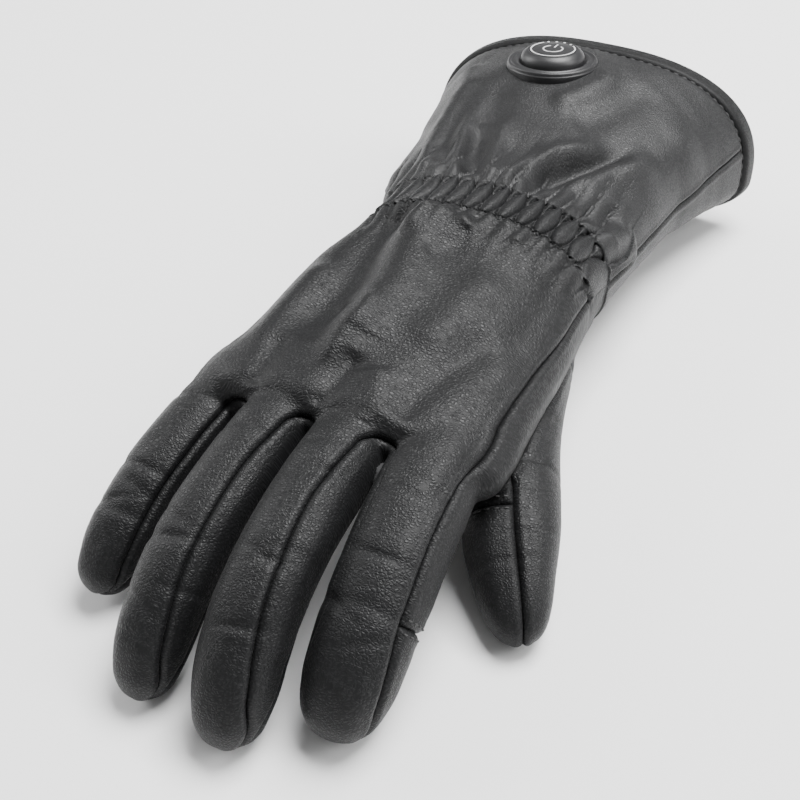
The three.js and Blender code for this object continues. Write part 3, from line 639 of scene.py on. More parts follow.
def readSkin(points):
    # place of every point on the hand and on each digit, and how far outside each it lies
    s, x, h = findOn(points)
    cut = sectionAt(s)
    tall = np.where(h > 0, cut["up"], cut["down"])
    hand = superDistance(x - cut["shift"], h, cut["half"], tall, glove["handSquareness"])
    hand = np.maximum(hand, s - skinForm["handEnd"])
    found = {"s": s, "x": x, "h": h, "hand": hand, "digits": []}
    for digit in allDigits:
        at, dx, dh = findOnDigit(digit, points)
        swell = readTable(digit["swell"][:, 0], digit["swell"][:, 1], at)
        gap = superDistance(dx, dh, digit["a"] * swell, digit["b"] * swell, glove["fingerSquareness"])
        gap = np.maximum(gap, np.maximum(digit["from"] - at, at - 1) * digit["size"])
        found["digits"].append({"at": at, "x": dx, "h": dh, "gap": gap, "b": digit["b"] * swell})
    return found


def gapsOf(found):
    return np.stack([found["hand"], *[row["gap"] for row in found["digits"]]], axis=1)


points, faces = unionSkin()
pairs = edgePairs(faces)
forth, back = skinForm["taubin"]
points = relax(points, pairs, skinForm["taubinRounds"], forth, back)
nearest, second = np.sort(gapsOf(readSkin(points)), axis=1)[:, :2].T
crotch = np.exp(-((second - nearest) / skinForm["crotch"]) ** 2)
points = relax(points, pairs, skinForm["crotchRounds"], 0.5 * crotch)
found = readSkin(points)
gaps = gapsOf(found)
print("skin", len(points), "points")


def blended(handField, digitFields, soft=1.8):
    # one field over the skin from the fields of its parts
    total = np.exp(-(np.maximum(found["hand"], 0) / soft) ** 2)
    value = handField * total
    for row, field in zip(found["digits"], digitFields):
        weight = np.exp(-(np.maximum(row["gap"], 0) / soft) ** 2)
        value = value + weight * field
        total = total + weight
    return value / np.maximum(total, 1e-9)


seamSpread = 30  # past the glove's sides, so that the back seam's height runs on smoothly


def handSeamHeight(s, x):
    cut = sectionAt(s)
    at = placeOf(s)
    left = readTable(sideSeams[:, 0], sideSeams[:, 1], at) * cut["up"]
    right = readTable(sideSeams[:, 0], sideSeams[:, 2], at) * cut["up"]
    wide = cut["half"] + seamSpread
    return left + (right - left) * ((x - cut["shift"]) / wide + 1) / 2


def skinFields():
    # one field for each seam: the seam runs where it is zero
    s, x, h = found["s"], found["x"], found["h"]
    little, index = digits[0], digits[3]
    cut = sectionAt(s)
    handBack = h - handSeamHeight(s, x)
    handLow = h + stripForm["drop"] * cut["down"]
    handSide = np.minimum(x - little["x"], index["x"] - x)
    handStrip = np.minimum(np.minimum(handLow, handSide), s - stripForm["from"])
    backs, stripFields = [], []
    for k, (digit, row) in enumerate(zip(digits, found["digits"])):
        closing = readTable(seamClosing[:, 0], seamClosing[:, 1], row["at"])
        share = np.where(row["x"] < 0, digit["seams"][0], digit["seams"][1])
        backs.append(row["h"] - closing * share * row["b"])
        low = row["h"] + stripForm["drop"] * closing * row["b"]
        side = {0: row["x"], 3: -row["x"]}.get(k, np.abs(row["x"]))
        end = (stripForm["end"] - row["at"]) * digit["size"]
        stripFields.append(np.minimum(np.minimum(low, side), end))
    thumbRow = found["digits"][4]
    others = np.minimum(found["hand"], np.min(gaps[:, 1:5], axis=1))
    owner = np.argmin(gaps, axis=1)
    return {
        "back": blended(handBack, [*backs, handBack]),
        "strip": blended(handStrip, [*stripFields, handStrip]),
        "tip": np.where(owner == 4, (found["digits"][3]["at"] - touchTipShare) * index["size"], -20),
        "thumb": np.minimum(others - thumbRow["gap"], thumbRow["at"] * thumb["size"]),
        "thumbHalf": thumbRow["x"],
        "thumbTip": (thumbRow["at"] - touchTipShare) * thumb["size"],
    }


def grainLay():
    # coordinates along and across the leather, for its grain
    s, x, h = found["s"], found["x"], found["h"]
    cut = sectionAt(s)
    centred = x - cut["shift"]
    across = np.where(h > 0, centred, np.sign(centred) * (2 * cut["half"] - np.abs(centred)))
    alongs, acrosses = [], []
    for digit, row in zip(allDigits, found["digits"]):
        alongs.append(digit["startAt"] + row["at"] * digit["size"])
        acrosses.append(digit["x"] + np.arctan2(row["x"], row["h"]) * (digit["a"] + digit["b"]) / 2)
    onThumb = fields["thumb"] > 0
    along = np.where(onThumb, alongs[4], blended(s, [*alongs[:4], s]))
    across = np.where(onThumb, acrosses[4], blended(across, [*acrosses[:4], across]))
    return np.stack([along, across, np.zeros(len(s))], axis=1)


# Rounds that each seam is smoothed by, and the back seam again between the roots of the fingers
seamRounds = {"back": 5, "strip": 8, "thumb": 10, "roots": 45}
rootForm = {"reach": 3.5, "from": 86, "amount": 0.6}

fields = skinFields()
for name in ("back", "strip", "thumb"):
    fields[name] = relax(fields[name], pairs, seamRounds[name])[:, 0]
roots = np.exp(-((second - nearest) / rootForm["reach"]) ** 2) * (found["s"] > rootForm["from"])
fields["back"] = relax(fields["back"], pairs, seamRounds["roots"], rootForm["amount"] * roots)[:, 0]
print("seam fields")

foldDepth = {"hand": 1.7, "cuff": 1.6, "finger": 1.0}
topHeight = {"hand": 8, "cuff": 10}  # height over which the folds of the back fade at the sides
strokeStart = 7  # distance from the gathers over which they start

# Ridges, hollows and creases of the hand's back: place along and across, in millimetres
handStrokes = [
    {"path": [(4, -3), (12, -9), (24, -12), (38, -10), (50, -8), (62, -10), (76, -13), (94, -10)],
     "width": 9.0, "height": 1.9, "lean": 1.5, "in": 0.05, "out": 0.3},
    {"path": [(3, -2), (11, -7), (20, -11), (30, -11)], "width": 3.0, "height": 1.3, "lean": 0.6,
     "in": 0.05},
    {"path": [(6, -17), (20, -22), (36, -23), (54, -22), (70, -24), (86, -22)], "width": 7.5, "height": -1.9},
    {"path": [(58, -6), (68, -5), (80, -8), (92, -9)], "width": 4.0, "height": 1.2, "lean": 0.5},
    {"path": [(60, -15), (72, -17), (84, -17)], "width": 4.0, "height": -1.2},
    {"path": [(38, -33), (56, -34), (74, -35), (92, -34)], "width": 6, "height": 1.2},
    {"path": [(5, 6), (12, 8), (20, 8)], "width": 3.0, "height": 1.1, "in": 0.05},
    {"path": [(5, 20), (12, 23), (18, 24)], "width": 3.0, "height": 0.9, "in": 0.05},
    {"path": [(82, 0), (92, -1), (103, -3)], "width": 4, "height": -1.3, "out": 0.1},
    {"path": [(80, -28), (90, -27), (102, -27)], "width": 4, "height": -1.2, "out": 0.1},
    {"path": [(34, -2), (29, 4), (24, 9), (19, 14)], "width": 5, "height": -0.7, "lean": -0.5, "out": 0.5},
    {"path": [(76, 15), (62, 18), (44, 21), (28, 25)], "width": 8, "height": 1.2},
    {"path": [(54, 33), (70, 29), (84, 24), (100, 22)], "width": 6, "height": -1.2, "out": 0.1},
    {"path": [(14, 40), (32, 42), (48, 41), (66, 38)], "width": 6, "height": -1.0},
    {"path": [(84, 8), (95, 12), (104, 13)], "width": 5, "height": 0.9, "out": 0.1},
]


def wave(t, seed, parts=6, fullTurn=6.28):
    # a soft wandering line, the same every run
    own = np.random.default_rng(seed)
    out = np.zeros_like(t)
    for k in range(1, parts + 1):
        out += own.normal() / k * np.sin(k * t + own.uniform(0, fullTurn))
    return out


def handRelief():
    s, x, h = found["s"], found["x"], found["h"]
    top = np.clip(h / topHeight["hand"], 0, 1)
    begun = np.clip((s - glove["halfGather"]) / strokeStart, 0, 1)
    return foldDepth["hand"] * strokes(s, x, handStrokes) * top * begun + gatherRelief(s, x, h)


# Creases over the joints of a finger, and the soft waves of its leather
creaseForm = {
    "joints": ((0.28, 0.05, 0.35), (0.52, 0.06, 0.5), (0.72, 0.05, 0.4)),  # place, spread, depth
    "each": 3, "lean": 0.03, "wander": 0.6, "width": (1.0, 1.9), "reach": 0.8,
    "roll": 0.14, "rollPitch": 9, "swell": 0.2, "swellPitch": 5, "swellTurn": 1.3,
    "fadeIn": 6, "fadeOut": 8,
    "seeds": {"crease": 40, "roll": 60, "swell": 80},
}


def fingerRelief(k, digit, row):
    look, seeds = creaseForm, creaseForm["seeds"]
    at, x, h = row["at"], row["x"], row["h"]
    around = np.arctan2(x, h)
    out = np.zeros(len(at))
    own = np.random.default_rng(seeds["crease"] + k)
    for joint, spread, depth in look["joints"]:
        for _ in range(look["each"]):
            centre = joint + own.normal() * spread
            lean = own.normal() * look["lean"]
            where = own.normal() * look["wander"]
            line = (at - centre - lean * x / digit["a"]) * digit["size"]
            width = own.uniform(*look["width"])
            side = np.exp(-((around - where) / look["reach"]) ** 2)
            out -= foldDepth["finger"] * depth * np.exp(-(line / width) ** 2) * side
    out += look["roll"] * wave(at * look["rollPitch"], seeds["roll"] + k) * np.cos(around)
    out += look["swell"] * wave(at * look["swellPitch"] + around * look["swellTurn"], seeds["swell"] + k)
    return out * np.clip(at * look["fadeIn"], 0, 1) * np.clip((1 - at) * look["fadeOut"], 0, 1)


# Gathers across the wrist: leaf-shaped puffs between two rows of elastic stitching, and the
# pleats that start between their tips and run out into the hand and the cuff
puffForm = {
    "pitch": 6.6, "height": 3.0, "slant": 0.16, "middle": 0.55, "tip": 9.6, "pointed": 0.62, "least": 0.02,
    "handReach": 7.0, "cuffReach": 14.0, "reachChange": 0.45, "reachRange": (0.4, 2.2), "reachPitch": 1.3,
    "wander": 0.1, "wanderPitch": 0.07, "farthest": 20, "side": 11,
    "crown": 0.55, "soften": 0.75, "softenReach": 6, "fall": 1.2,
    "pleat": 0.9, "pleatStart": 2, "pleatRun": 5,
    "seeds": {"wander": 23, "reach": 29},
}


def puffWander(x):
    # the puffs aren't all the same width
    return puffForm["wander"] * wave(x * puffForm["wanderPitch"], puffForm["seeds"]["wander"])


def leafHalf(s):
    # half the width of a puff, as a share of the pitch
    return 0.5 * np.clip(1 - (s / puffForm["tip"]) ** 2, 0, 1) ** puffForm["pointed"]


def gatherRelief(s, x, h):
    look = puffForm
    past = np.maximum(np.abs(s) - look["tip"], 0)
    slant = look["slant"] * np.clip(s, -look["farthest"], look["farthest"]) / glove["halfGather"]
    phase = x / look["pitch"] + slant + puffWander(x)
    leafWidth = leafHalf(s)
    leaf = np.clip(1 - ((phase - np.floor(phase) - 0.5) / np.maximum(leafWidth, look["least"])) ** 2, 0, 1)
    pleatWidth = np.maximum(0.5 - leafWidth, look["least"])
    pleat = np.clip(1 - (np.abs(phase - np.round(phase)) / pleatWidth) ** 2, 0, 1)
    pleat = pleat * np.clip((np.abs(s) - look["pleatStart"]) / look["pleatRun"], 0, 1)
    soft = look["crown"] + look["soften"] * np.clip(past / look["softenReach"], 0, 1)
    profile = np.maximum(leaf ** look["crown"], look["pleat"] * pleat ** soft)
    long = 1 + look["reachChange"] * wave(np.round(phase) * look["reachPitch"], look["seeds"]["reach"])
    reach = np.where(s < 0, look["cuffReach"] * np.clip(long, *look["reachRange"]), look["handReach"])
    swing = look["height"] * np.exp(-(past / reach) ** look["fall"]) * np.clip(h / look["side"], 0, 1)
    return swing * (profile - look["middle"])


def skinRelief(soft=2.4):
    parts = [fingerRelief(k, digit, row)
             for k, (digit, row) in enumerate(zip(allDigits, found["digits"]))]
    return blended(handRelief(), parts, soft)


def smoothNormals(rounds):
    normals = relax(pointNormals(points, faces), pairs, rounds)
    return normals / np.linalg.norm(normals, axis=1)[:, None]


relief = relax(skinRelief(), pairs, 1)[:, 0]
points = points + smoothNormals(2) * (skinForm["slim"] + relief)[:, None]
skin = {
    "points": points,
    "faces": faces,
    "data": {**fields, "normal": smoothNormals(1), "lay": grainLay(),
             "s": found["s"], "x": found["x"], "h": found["h"],
             "owner": np.argmin(gaps, axis=1).astype(float),
             **{f"x{k}": row["x"] for k, row in enumerate(found["digits"])}},
    "label": np.zeros(len(faces), int),
}
skin = cutSkin(skin, skin["data"]["s"] + glove["halfGather"])
skin = cutSkin(skin, skin["data"]["s"] - glove["halfGather"])
for name in ("thumb", "thumbHalf", "thumbTip", "back", "strip", "tip"):
    skin = cutSkin(skin, skin["data"][name])
print("cut", len(skin["faces"]), "triangles")

panelNames = ["back_panel", "palm_panel", "fourchette_little_ring", "fourchette_ring_middle",
              "fourchette_middle_index", "index_touch_tip", "thumb_back", "thumb_front", "thumb_touch_tip"]
dropped = -1


def labelSkin(skin):
    # each face's place in panelNames
    faces, data = skin["faces"], skin["data"]
    middle = {key: array[faces].mean(axis=1) for key, array in data.items() if array.ndim == 1}
    owner = np.round(data["owner"][faces]).min(axis=1).astype(int)
    gate = np.searchsorted([digit["x"] for digit in digits], middle["x"]) - 1
    for k in range(4):
        onDigit = k - 1 + (middle[f"x{k}"] > 0)
        gate = np.where(owner == k + 1, onDigit, gate)
    label = np.where(middle["strip"] > 0, 2 + np.clip(gate, 0, 2), np.where(middle["tip"] > 0, 5, 1))
    label = np.where(middle["s"] < -glove["halfGather"], dropped, label)
    label = np.where(middle["back"] > 0, np.where(middle["s"] < glove["halfGather"], dropped, 0), label)
    thumbLabel = np.where(middle["thumbHalf"] > 0, 6, np.where(middle["thumbTip"] > 0, 8, 7))
    return np.where(middle["thumb"] > 0, thumbLabel, label)


skin["label"] = labelSkin(skin)
# Seams: how deep and wide the leather rolls in, the hollow beside it, the lip, and short edges to weld
seamForm = {"depth": 1.5, "radius": 2.2, "rings": (0.35, 0.9, 1.7), "hollow": 0.8, "hollowWidth": 5.0,
            "lip": 0.35, "weld": 0.22}
lipWidth, secondWeld = 0.6, 0.6  # shares of the radius and of the first weld


def grooveSkin(skin, shape):
    skin = weldShort(skin, shape["weld"])
    base = skin["points"]
    seams = borderEdges(skin["faces"], skin["label"], True)
    skin["data"]["gap"] = distanceTo(base, base, seams)
    for ring in shape["rings"]:
        skin = cutSkin(skin, skin["data"]["gap"] - ring)
    skin = weldShort(skin, shape["weld"] * secondWeld)
    gap = skin["data"]["gap"]
    drop = rolledEdge(gap, shape["depth"], shape["radius"])
    drop = drop - shape["hollow"] * np.exp(-(gap / shape["hollowWidth"]) ** 2)
    drop = drop + shape["lip"] * np.exp(-((gap - shape["radius"]) / (lipWidth * shape["radius"])) ** 2)
    skin["points"] = skin["points"] + skin["data"]["normal"] * drop[:, None]
    return skin


skin = grooveSkin(skin, seamForm)
print("seams", len(skin["faces"]), "triangles")


def panelOf(skin, label, wall):
    # one leather piece with its thickness: outside, inside and the cut edge between them
    faces = skin["faces"][skin["label"] == label]
    used, back = np.unique(faces, return_inverse=True)
    faces = back.reshape(-1, 3)
    outside, count = skin["points"][used], len(used)
    inside = outside - skin["data"]["normal"][used] * wall
    sides = sidesOf(faces)
    keys = np.sort(sides, axis=1) @ np.array([count, 1])
    different, times = np.unique(keys, return_counts=True)
    edge = sides[np.isin(keys, different[times == 1])]
    rim = np.vstack([np.stack([edge[:, 1], edge[:, 0], edge[:, 0] + count], 1),
                     np.stack([edge[:, 1], edge[:, 0] + count, edge[:, 1] + count], 1)])
    lay = skin["data"]["lay"][used] * milli
    shape = (np.vstack([outside, inside]), np.vstack([faces, faces[:, ::-1] + count, rim]))
    return *shape, {"lay": np.vstack([lay, lay])}, len(faces)


# Rubber button on the cuff, pulled into the leather round its rim
buttonForm = {
    "width": 37.0, "base": 4.2, "domeWidth": 26.0, "domeHeight": 6.0, "tilt": 6.0,
    "faceWidth": 19.0, "place": 0.765, "shift": -0.1, "sink": 1.6, "segments": 96,
    "socket": 2.4, "gap": 0.3,  # depth of the dome's seat in the flange, and the space under it
    "pull": 1.9, "pullReach": 1.7, "pullFull": 0.7,  # the leather rises to it, in shares of half its width
}

# Cuff: flared, pleated out of the gathers, with broad dents
cuffStrokes = [
    {"path": [(-8, -9), (-23, -15), (-39, -20), (-57, -25), (-72, -27)],
     "width": 3.4, "height": 1.9, "lean": 0.5, "in": 0.03, "out": 0.5},
    {"path": [(-12, -4), (-24, -8), (-40, -14), (-52, -19)], "width": 5.0, "height": -0.7},
    {"path": [(-8, 3), (-21, -1), (-35, -6), (-50, -9), (-64, -10)],
     "width": 3.4, "height": 1.7, "lean": -0.4, "in": 0.03, "out": 0.5},
    {"path": [(-8, 11), (-19, 12), (-30, 15), (-39, 19), (-47, 26), (-60, 34)],
     "width": 4.6, "height": 2.7, "lean": 0.9, "in": 0.03, "out": 0.4},
    {"path": [(-18, 19), (-30, 23), (-40, 28), (-50, 34), (-62, 42)],
     "width": 3.4, "height": -1.9, "lean": 0.3},
    {"path": [(-24, 31), (-38, 36), (-52, 42), (-66, 47)], "width": 5, "height": 1.5},
    {"path": [(-8, -18), (-20, -25), (-33, -30), (-47, -33), (-64, -36), (-84, -38)],
     "width": 4, "height": 1.8, "lean": 0.4, "in": 0.03, "out": 0.4},
    {"path": [(-12, 36), (-20, 42), (-28, 46), (-34, 44)], "width": 5, "height": -1.8},
    {"path": [(-8, 44), (-18, 48), (-27, 52), (-34, 52)], "width": 4.5, "height": 2.0, "in": 0.05},
    {"path": [(-66, 2), (-76, 12), (-86, 17), (-98, 18)], "width": 5, "height": 1.2},
    {"path": [(-60, 14), (-72, 24), (-84, 30), (-96, 34)], "width": 8, "height": -1.4},
    {"path": [(-40, 42), (-56, 48), (-74, 52), (-92, 56)], "width": 7, "height": 1.3},
    {"path": [(-50, -14), (-64, -18), (-80, -22)], "width": 6, "height": -1.2},
    {"path": [(-70, -32), (-84, -40), (-98, -46)], "width": 4.5, "height": 1.2},
]


# Broad waves of the cuff: height, pitch along, pitch across, seed
cuffWaves = ((0.35, 0.06, 0.03, 17), (0.25, 0.11, -0.05, 19))


def cuffRelief(s, x, h):
    button = buttonForm
    top = np.clip(h / topHeight["cuff"] + 0.2, 0, 1)
    begun = np.clip((-s - glove["halfGather"]) / strokeStart, 0, 1)
    out = foldDepth["cuff"] * strokes(s, x, cuffStrokes) * top * begun
    out += gatherRelief(s, x, h)
    out += sum(height * wave(s * along + x * across, seed) for height, along, across, seed in cuffWaves)
    toButton = np.hypot(s + button["place"] * glove["cuffLength"],
                        x - sectionAt(s)["shift"] - button["shift"] * glove["palmWidth"])
    near = np.clip(button["pullReach"] - toButton / (0.5 * button["width"]), 0, button["pullFull"])
    return out + button["pull"] * near * top


def ringPoints(s, grow, count, relief=None, fineCount=900):
    # one ring of the cuff, its points evenly spread along its girth
    fine = np.linspace(0, 2 * math.pi, fineCount)
    cut = sectionAt(s)
    square = np.where(np.cos(fine) > 0, glove["handSquareness"], cut["under"])
    x = cut["half"] * power(np.sin(fine), 2 / square)
    h = np.where(np.cos(fine) > 0, cut["up"], cut["down"]) * power(np.cos(fine), 2 / square)
    girth = np.concatenate([[0], np.cumsum(np.hypot(np.diff(x), np.diff(h)))])
    stop = np.linspace(0, girth[-1], count, endpoint=False)
    x, h = np.interp(stop, girth, x), np.interp(stop, girth, h)
    nx, nh = np.roll(h, 1) - np.roll(h, -1), np.roll(x, -1) - np.roll(x, 1)
    size = np.hypot(nx, nh)
    nx, nh = nx / size, nh / size
    lift = np.full(count, float(grow))
    if relief:
        lift = lift + relief(np.full(count, s), x + cut["shift"], h)
    where = {"s": np.full(count, s), "x": x + cut["shift"], "h": h,
             "girth": np.where(stop > girth[-1] / 2, stop - girth[-1], stop)}
    return placeOn(np.full(count, s), x + cut["shift"] + nx * lift, h + nh * lift), where


def ringSkin(places, grows, count, relief=None, looped=False):
    # a skin of rings, which the last one closes if looped
    rings, where = [], []
    for s, grow in zip(places, grows):
        points, values = ringPoints(s, grow, count, relief)
        rings.append(points)
        where.append(values)
    points = np.vstack(rings)
    data = {key: np.concatenate([row[key] for row in where]) for key in where[0]}
    data["lay"] = np.stack([data["s"], data["girth"], np.zeros(len(points))], axis=1)
    faces = gridFaces(len(places), count, looped)
    middle = points.mean(axis=0)
    if np.sum(faceNormals(points, faces) * (points[faces[:, 0]] - middle)) < 0:
        faces = faces[:, ::-1]
    data["normal"] = pointNormals(points, faces)
    return {"points": points, "faces": faces, "data": data, "label": np.zeros(len(faces), int)}


def splitAtBack(skin):
    # label 0 above the seams beside the back, 1 under them
    skin["data"]["back"] = skin["data"]["h"] - handSeamHeight(skin["data"]["s"], skin["data"]["x"])
    skin = cutSkin(skin, skin["data"]["back"])
    skin["label"] = (skin["data"]["back"][skin["faces"]].mean(axis=1) < 0).astype(int)
    return skin


cuffForm = {
    "columns": 560, "wall": 2.2, "start": 8.4, "fineEnd": 34, "fineStep": 0.55, "step": 1.05,
    "underBinding": 1.6, "tuck": 1.7, "tuckStart": 2.6, "tuckRun": 3.4,  # the hem under its binding
    "seam": {"depth": 1.2, "radius": 1.8, "rings": (0.3, 0.8), "hollow": 0.3, "hollowWidth": 3,
             "lip": 0.5, "weld": 0.2},
}
bindingStart = glove["cuffLength"] - glove["bindingWidth"]


def cuffSkin():
    look = cuffForm
    places = -np.concatenate([np.arange(look["start"], look["fineEnd"], look["fineStep"]),
                              np.arange(look["fineEnd"], bindingStart + look["underBinding"], look["step"])])
    cuff = ringSkin(places, np.zeros(len(places)), look["columns"], cuffRelief)
    cuff = grooveSkin(splitAtBack(cuff), look["seam"])
    tuck = np.clip((-cuff["data"]["s"] - bindingStart + look["tuckStart"]) / look["tuckRun"], 0, 1)
    cuff["points"] -= cuff["data"]["normal"] * (look["tuck"] * tuck ** 2)[:, None]
    return cuff


cuff = cuffSkin()
print("cuff", len(cuff["faces"]), "triangles")

# Gathered wrist
gatherForm = {"rows": 46, "columns": 900, "wall": 1.4}
gatherPlaces = np.linspace(-glove["halfGather"], glove["halfGather"], gatherForm["rows"])
gather = splitAtBack(ringSkin(gatherPlaces, np.zeros(len(gatherPlaces)), gatherForm["columns"], gatherRelief))
print("gather", len(gather["faces"]), "triangles")

# Binding round the hem: a padded band that wraps over the edge
bindingForm = {"columns": 420, "steps": 13, "bulge": 2.0, "wall": 3.4, "sunk": 0.9,
               "outerStart": 0.3, "innerStart": 1, "turnStart": 1.6, "turnDepth": 0.62}


def bindingProfile():
    # places from the wrist and heights over the leather: along the outside, over the edge and back inside
    look = bindingForm
    top = look["bulge"] - look["sunk"]
    radius = (look["wall"] + look["bulge"]) / 2
    outer = bindingStart + look["outerStart"]
    turnAt = glove["cuffLength"] - look["turnStart"]
    profile = []
    for t in np.linspace(0, 1, look["steps"]):
        rise = look["bulge"] * (1 - (2 * t - 1) ** 4) ** 0.5
        profile.append((outer + (turnAt - outer) * t, rise - look["sunk"] if t < 0.5 else top))
    for turn in np.linspace(0, math.pi, look["steps"])[1:]:
        profile.append((turnAt + radius * look["turnDepth"] * math.sin(turn),
                        top - radius + radius * math.cos(turn)))
    profile.append((bindingStart + look["innerStart"], -look["wall"] - look["sunk"]))
    return np.array(profile)


def bindingSkin():
    profile = bindingProfile()
    binding = ringSkin(-profile[:, 0], profile[:, 1], bindingForm["columns"], looped=True)
    run = np.concatenate([[0], np.cumsum(np.hypot(*np.diff(profile, axis=0).T))])
    binding["data"]["lay"][:, 0] = np.repeat(run, bindingForm["columns"])
    return binding


binding = bindingSkin()
print("binding", len(binding["faces"]), "triangles")

# Materials


def addNode(tree, kind, inputs=None, **settings):
    # a node with its properties set, and each input given a value or linked to another node's output
    node = tree.nodes.new(kind)
    for key, value in settings.items():
        setattr(node, key, value)
    for key, value in (inputs or {}).items():
        if isinstance(value, bpy.types.NodeSocket):
            tree.links.new(value, node.inputs[key])
        else:
            node.inputs[key].default_value = value
    return node


def calc(tree, operation, *values):
    return addNode(tree, "ShaderNodeMath", dict(enumerate(values)), operation=operation).outputs[0]


def noise(tree, vector, settings):
    return addNode(tree, "ShaderNodeTexNoise", {"Vector": vector, **settings}).outputs


def toneMix(tree, factor, dark, light):
    return addNode(tree, "ShaderNodeMix", {"Factor": factor, "A": dark, "B": light},
                   data_type="RGBA").outputs["Result"]


def newGroup(name, kind, inputs, outputs):
    # inputs are label: (type, value), outputs are label: type
    group = bpy.data.node_groups.new(name, kind)
    for label, (socketType, value) in inputs.items():
        socket = group.interface.new_socket(label, in_out="INPUT", socket_type="NodeSocket" + socketType)
        if value is not None:
            socket.default_value = value
    for label, socketType in outputs.items():
        group.interface.new_socket(label, in_out="OUTPUT", socket_type="NodeSocket" + socketType)
    return group, addNode(group, "NodeGroupInput").outputs


grainForm = {
    "warp": {"Scale": 0.6, "Detail": 2}, "shove": (1.1, 1.1, 0), "poreEdge": 0.32,
    "fine": {"Scale": 2.3, "Detail": 3}, "fineShare": 0.18,
    "lines": {"Scale": 0.35, "Detail": 4, "Roughness": 0.62, "Distortion": 0.6},
    "patch": {"Scale": 0.05, "Detail": 3}, "poreTone": 0.55, "patchTone": 0.6,
}


def leatherGroup():
    # pebbled grain with fine wrinkles that lie across the glove; Vector is in metres of leather
    tree, given = newGroup("leatherGrain", "ShaderNodeTree", {
        "Vector": ("Vector", None), "Cell": ("Float", 1.0), "Stretch": ("Float", 1.5),
        "Wrinkle": ("Float", 0.5),
    }, {"Height": "Float", "Pores": "Float", "Patch": "Float"})
    split = addNode(tree, "ShaderNodeSeparateXYZ", {0: given["Vector"]}).outputs
    perCell = calc(tree, "DIVIDE", 1000.0, given["Cell"])
    place = addNode(tree, "ShaderNodeCombineXYZ", {
        0: calc(tree, "MULTIPLY", split[0], calc(tree, "MULTIPLY", perCell, given["Stretch"])),
        1: calc(tree, "MULTIPLY", split[1], perCell),
        2: calc(tree, "MULTIPLY", split[2], perCell),
    }).outputs[0]
    warped = addNode(tree, "ShaderNodeVectorMath", {
        0: noise(tree, place, grainForm["warp"])["Color"], 1: grainForm["shove"], 2: place,
    }, operation="MULTIPLY_ADD").outputs[0]
    cells = addNode(tree, "ShaderNodeTexVoronoi", {"Scale": 1.0, "Vector": warped},
                    feature="DISTANCE_TO_EDGE")
    pores = addNode(tree, "ShaderNodeMapRange", {
        "From Max": grainForm["poreEdge"], "Value": cells.outputs["Distance"],
    }, interpolation_type="SMOOTHSTEP").outputs[0]
    lines = calc(tree, "SUBTRACT", noise(tree, warped, grainForm["lines"])[0], 0.5)
    wrinkles = calc(tree, "MULTIPLY", calc(tree, "SQRT", calc(tree, "ABSOLUTE", lines)), given["Wrinkle"])
    fine = calc(tree, "MULTIPLY", noise(tree, place, grainForm["fine"])[0], grainForm["fineShare"])
    addNode(tree, "NodeGroupOutput", {
        "Height": calc(tree, "ADD", calc(tree, "ADD", pores, wrinkles), fine),
        "Pores": pores,
        "Patch": noise(tree, place, grainForm["patch"])[0],
    })
    return tree


speckForm = {"detail": 3, "smoother": 0.05, "rougher": 0.08, "bump": 0.3, "depth": 0.05}


def speckGroup():
    # fine specks for rubber, ink, suede and thread
    tree, given = newGroup("speck", "ShaderNodeTree", {
        "Vector": ("Vector", None), "Scale": ("Float", 2000.0), "Dark": ("Color", None),
        "Light": ("Color", None), "Rough": ("Float", 0.5),
    }, {"Color": "Color", "Roughness": "Float", "Normal": "Vector"})
    specks = noise(tree, given["Vector"], {"Scale": given["Scale"], "Detail": speckForm["detail"]})[0]
    rough = addNode(tree, "ShaderNodeMapRange", {
        "Value": specks, "To Min": calc(tree, "SUBTRACT", given["Rough"], speckForm["smoother"]),
        "To Max": calc(tree, "ADD", given["Rough"], speckForm["rougher"]),
    })
    bump = addNode(tree, "ShaderNodeBump", {
        "Strength": speckForm["bump"], "Distance": speckForm["depth"] * milli, "Height": specks,
    })
    addNode(tree, "NodeGroupOutput", {
        "Color": toneMix(tree, specks, given["Dark"], given["Light"]),
        "Roughness": rough.outputs[0],
        "Normal": bump.outputs[0],
    })
    return tree


grain, speck = leatherGroup(), speckGroup()


def newMaterial(name):
    material = bpy.data.materials.new(name)
    material.use_nodes = True
    material.node_tree.nodes.clear()
    return material, material.node_tree


def giveShader(tree, inputs):
    shader = addNode(tree, "ShaderNodeBsdfPrincipled", inputs)
    addNode(tree, "ShaderNodeOutputMaterial", {0: shader.outputs[0]})


def leatherMaterial(name, look):
    material, tree = newMaterial(name)
    lay = addNode(tree, "ShaderNodeAttribute", attribute_name="lay")
    grained = addNode(tree, "ShaderNodeGroup", {
        "Vector": lay.outputs["Vector"], "Cell": look["cell"], "Stretch": look["stretch"],
        "Wrinkle": look["wrinkle"],
    }, node_tree=grain).outputs
    paler = calc(tree, "ADD", calc(tree, "MULTIPLY", grained["Pores"], grainForm["poreTone"]),
                 calc(tree, "MULTIPLY", grained["Patch"], grainForm["patchTone"]))
    rough = addNode(tree, "ShaderNodeMapRange", {
        "To Min": look["rough"] + 0.1, "To Max": look["rough"] - 0.04, "Value": grained["Pores"],
    })
    bump = addNode(tree, "ShaderNodeBump", {
        "Strength": look["bump"], "Distance": look["depth"] * milli, "Height": grained["Height"],
    })
    giveShader(tree, {
        "Base Color": toneMix(tree, paler, (*look["dark"], 1), (*look["light"], 1)),
        "Roughness": rough.outputs[0],
        "Specular IOR Level": look["shine"],
        "Sheen Weight": look["sheen"],
        "Sheen Roughness": 0.4,
        "Normal": bump.outputs[0],
    })
    return material


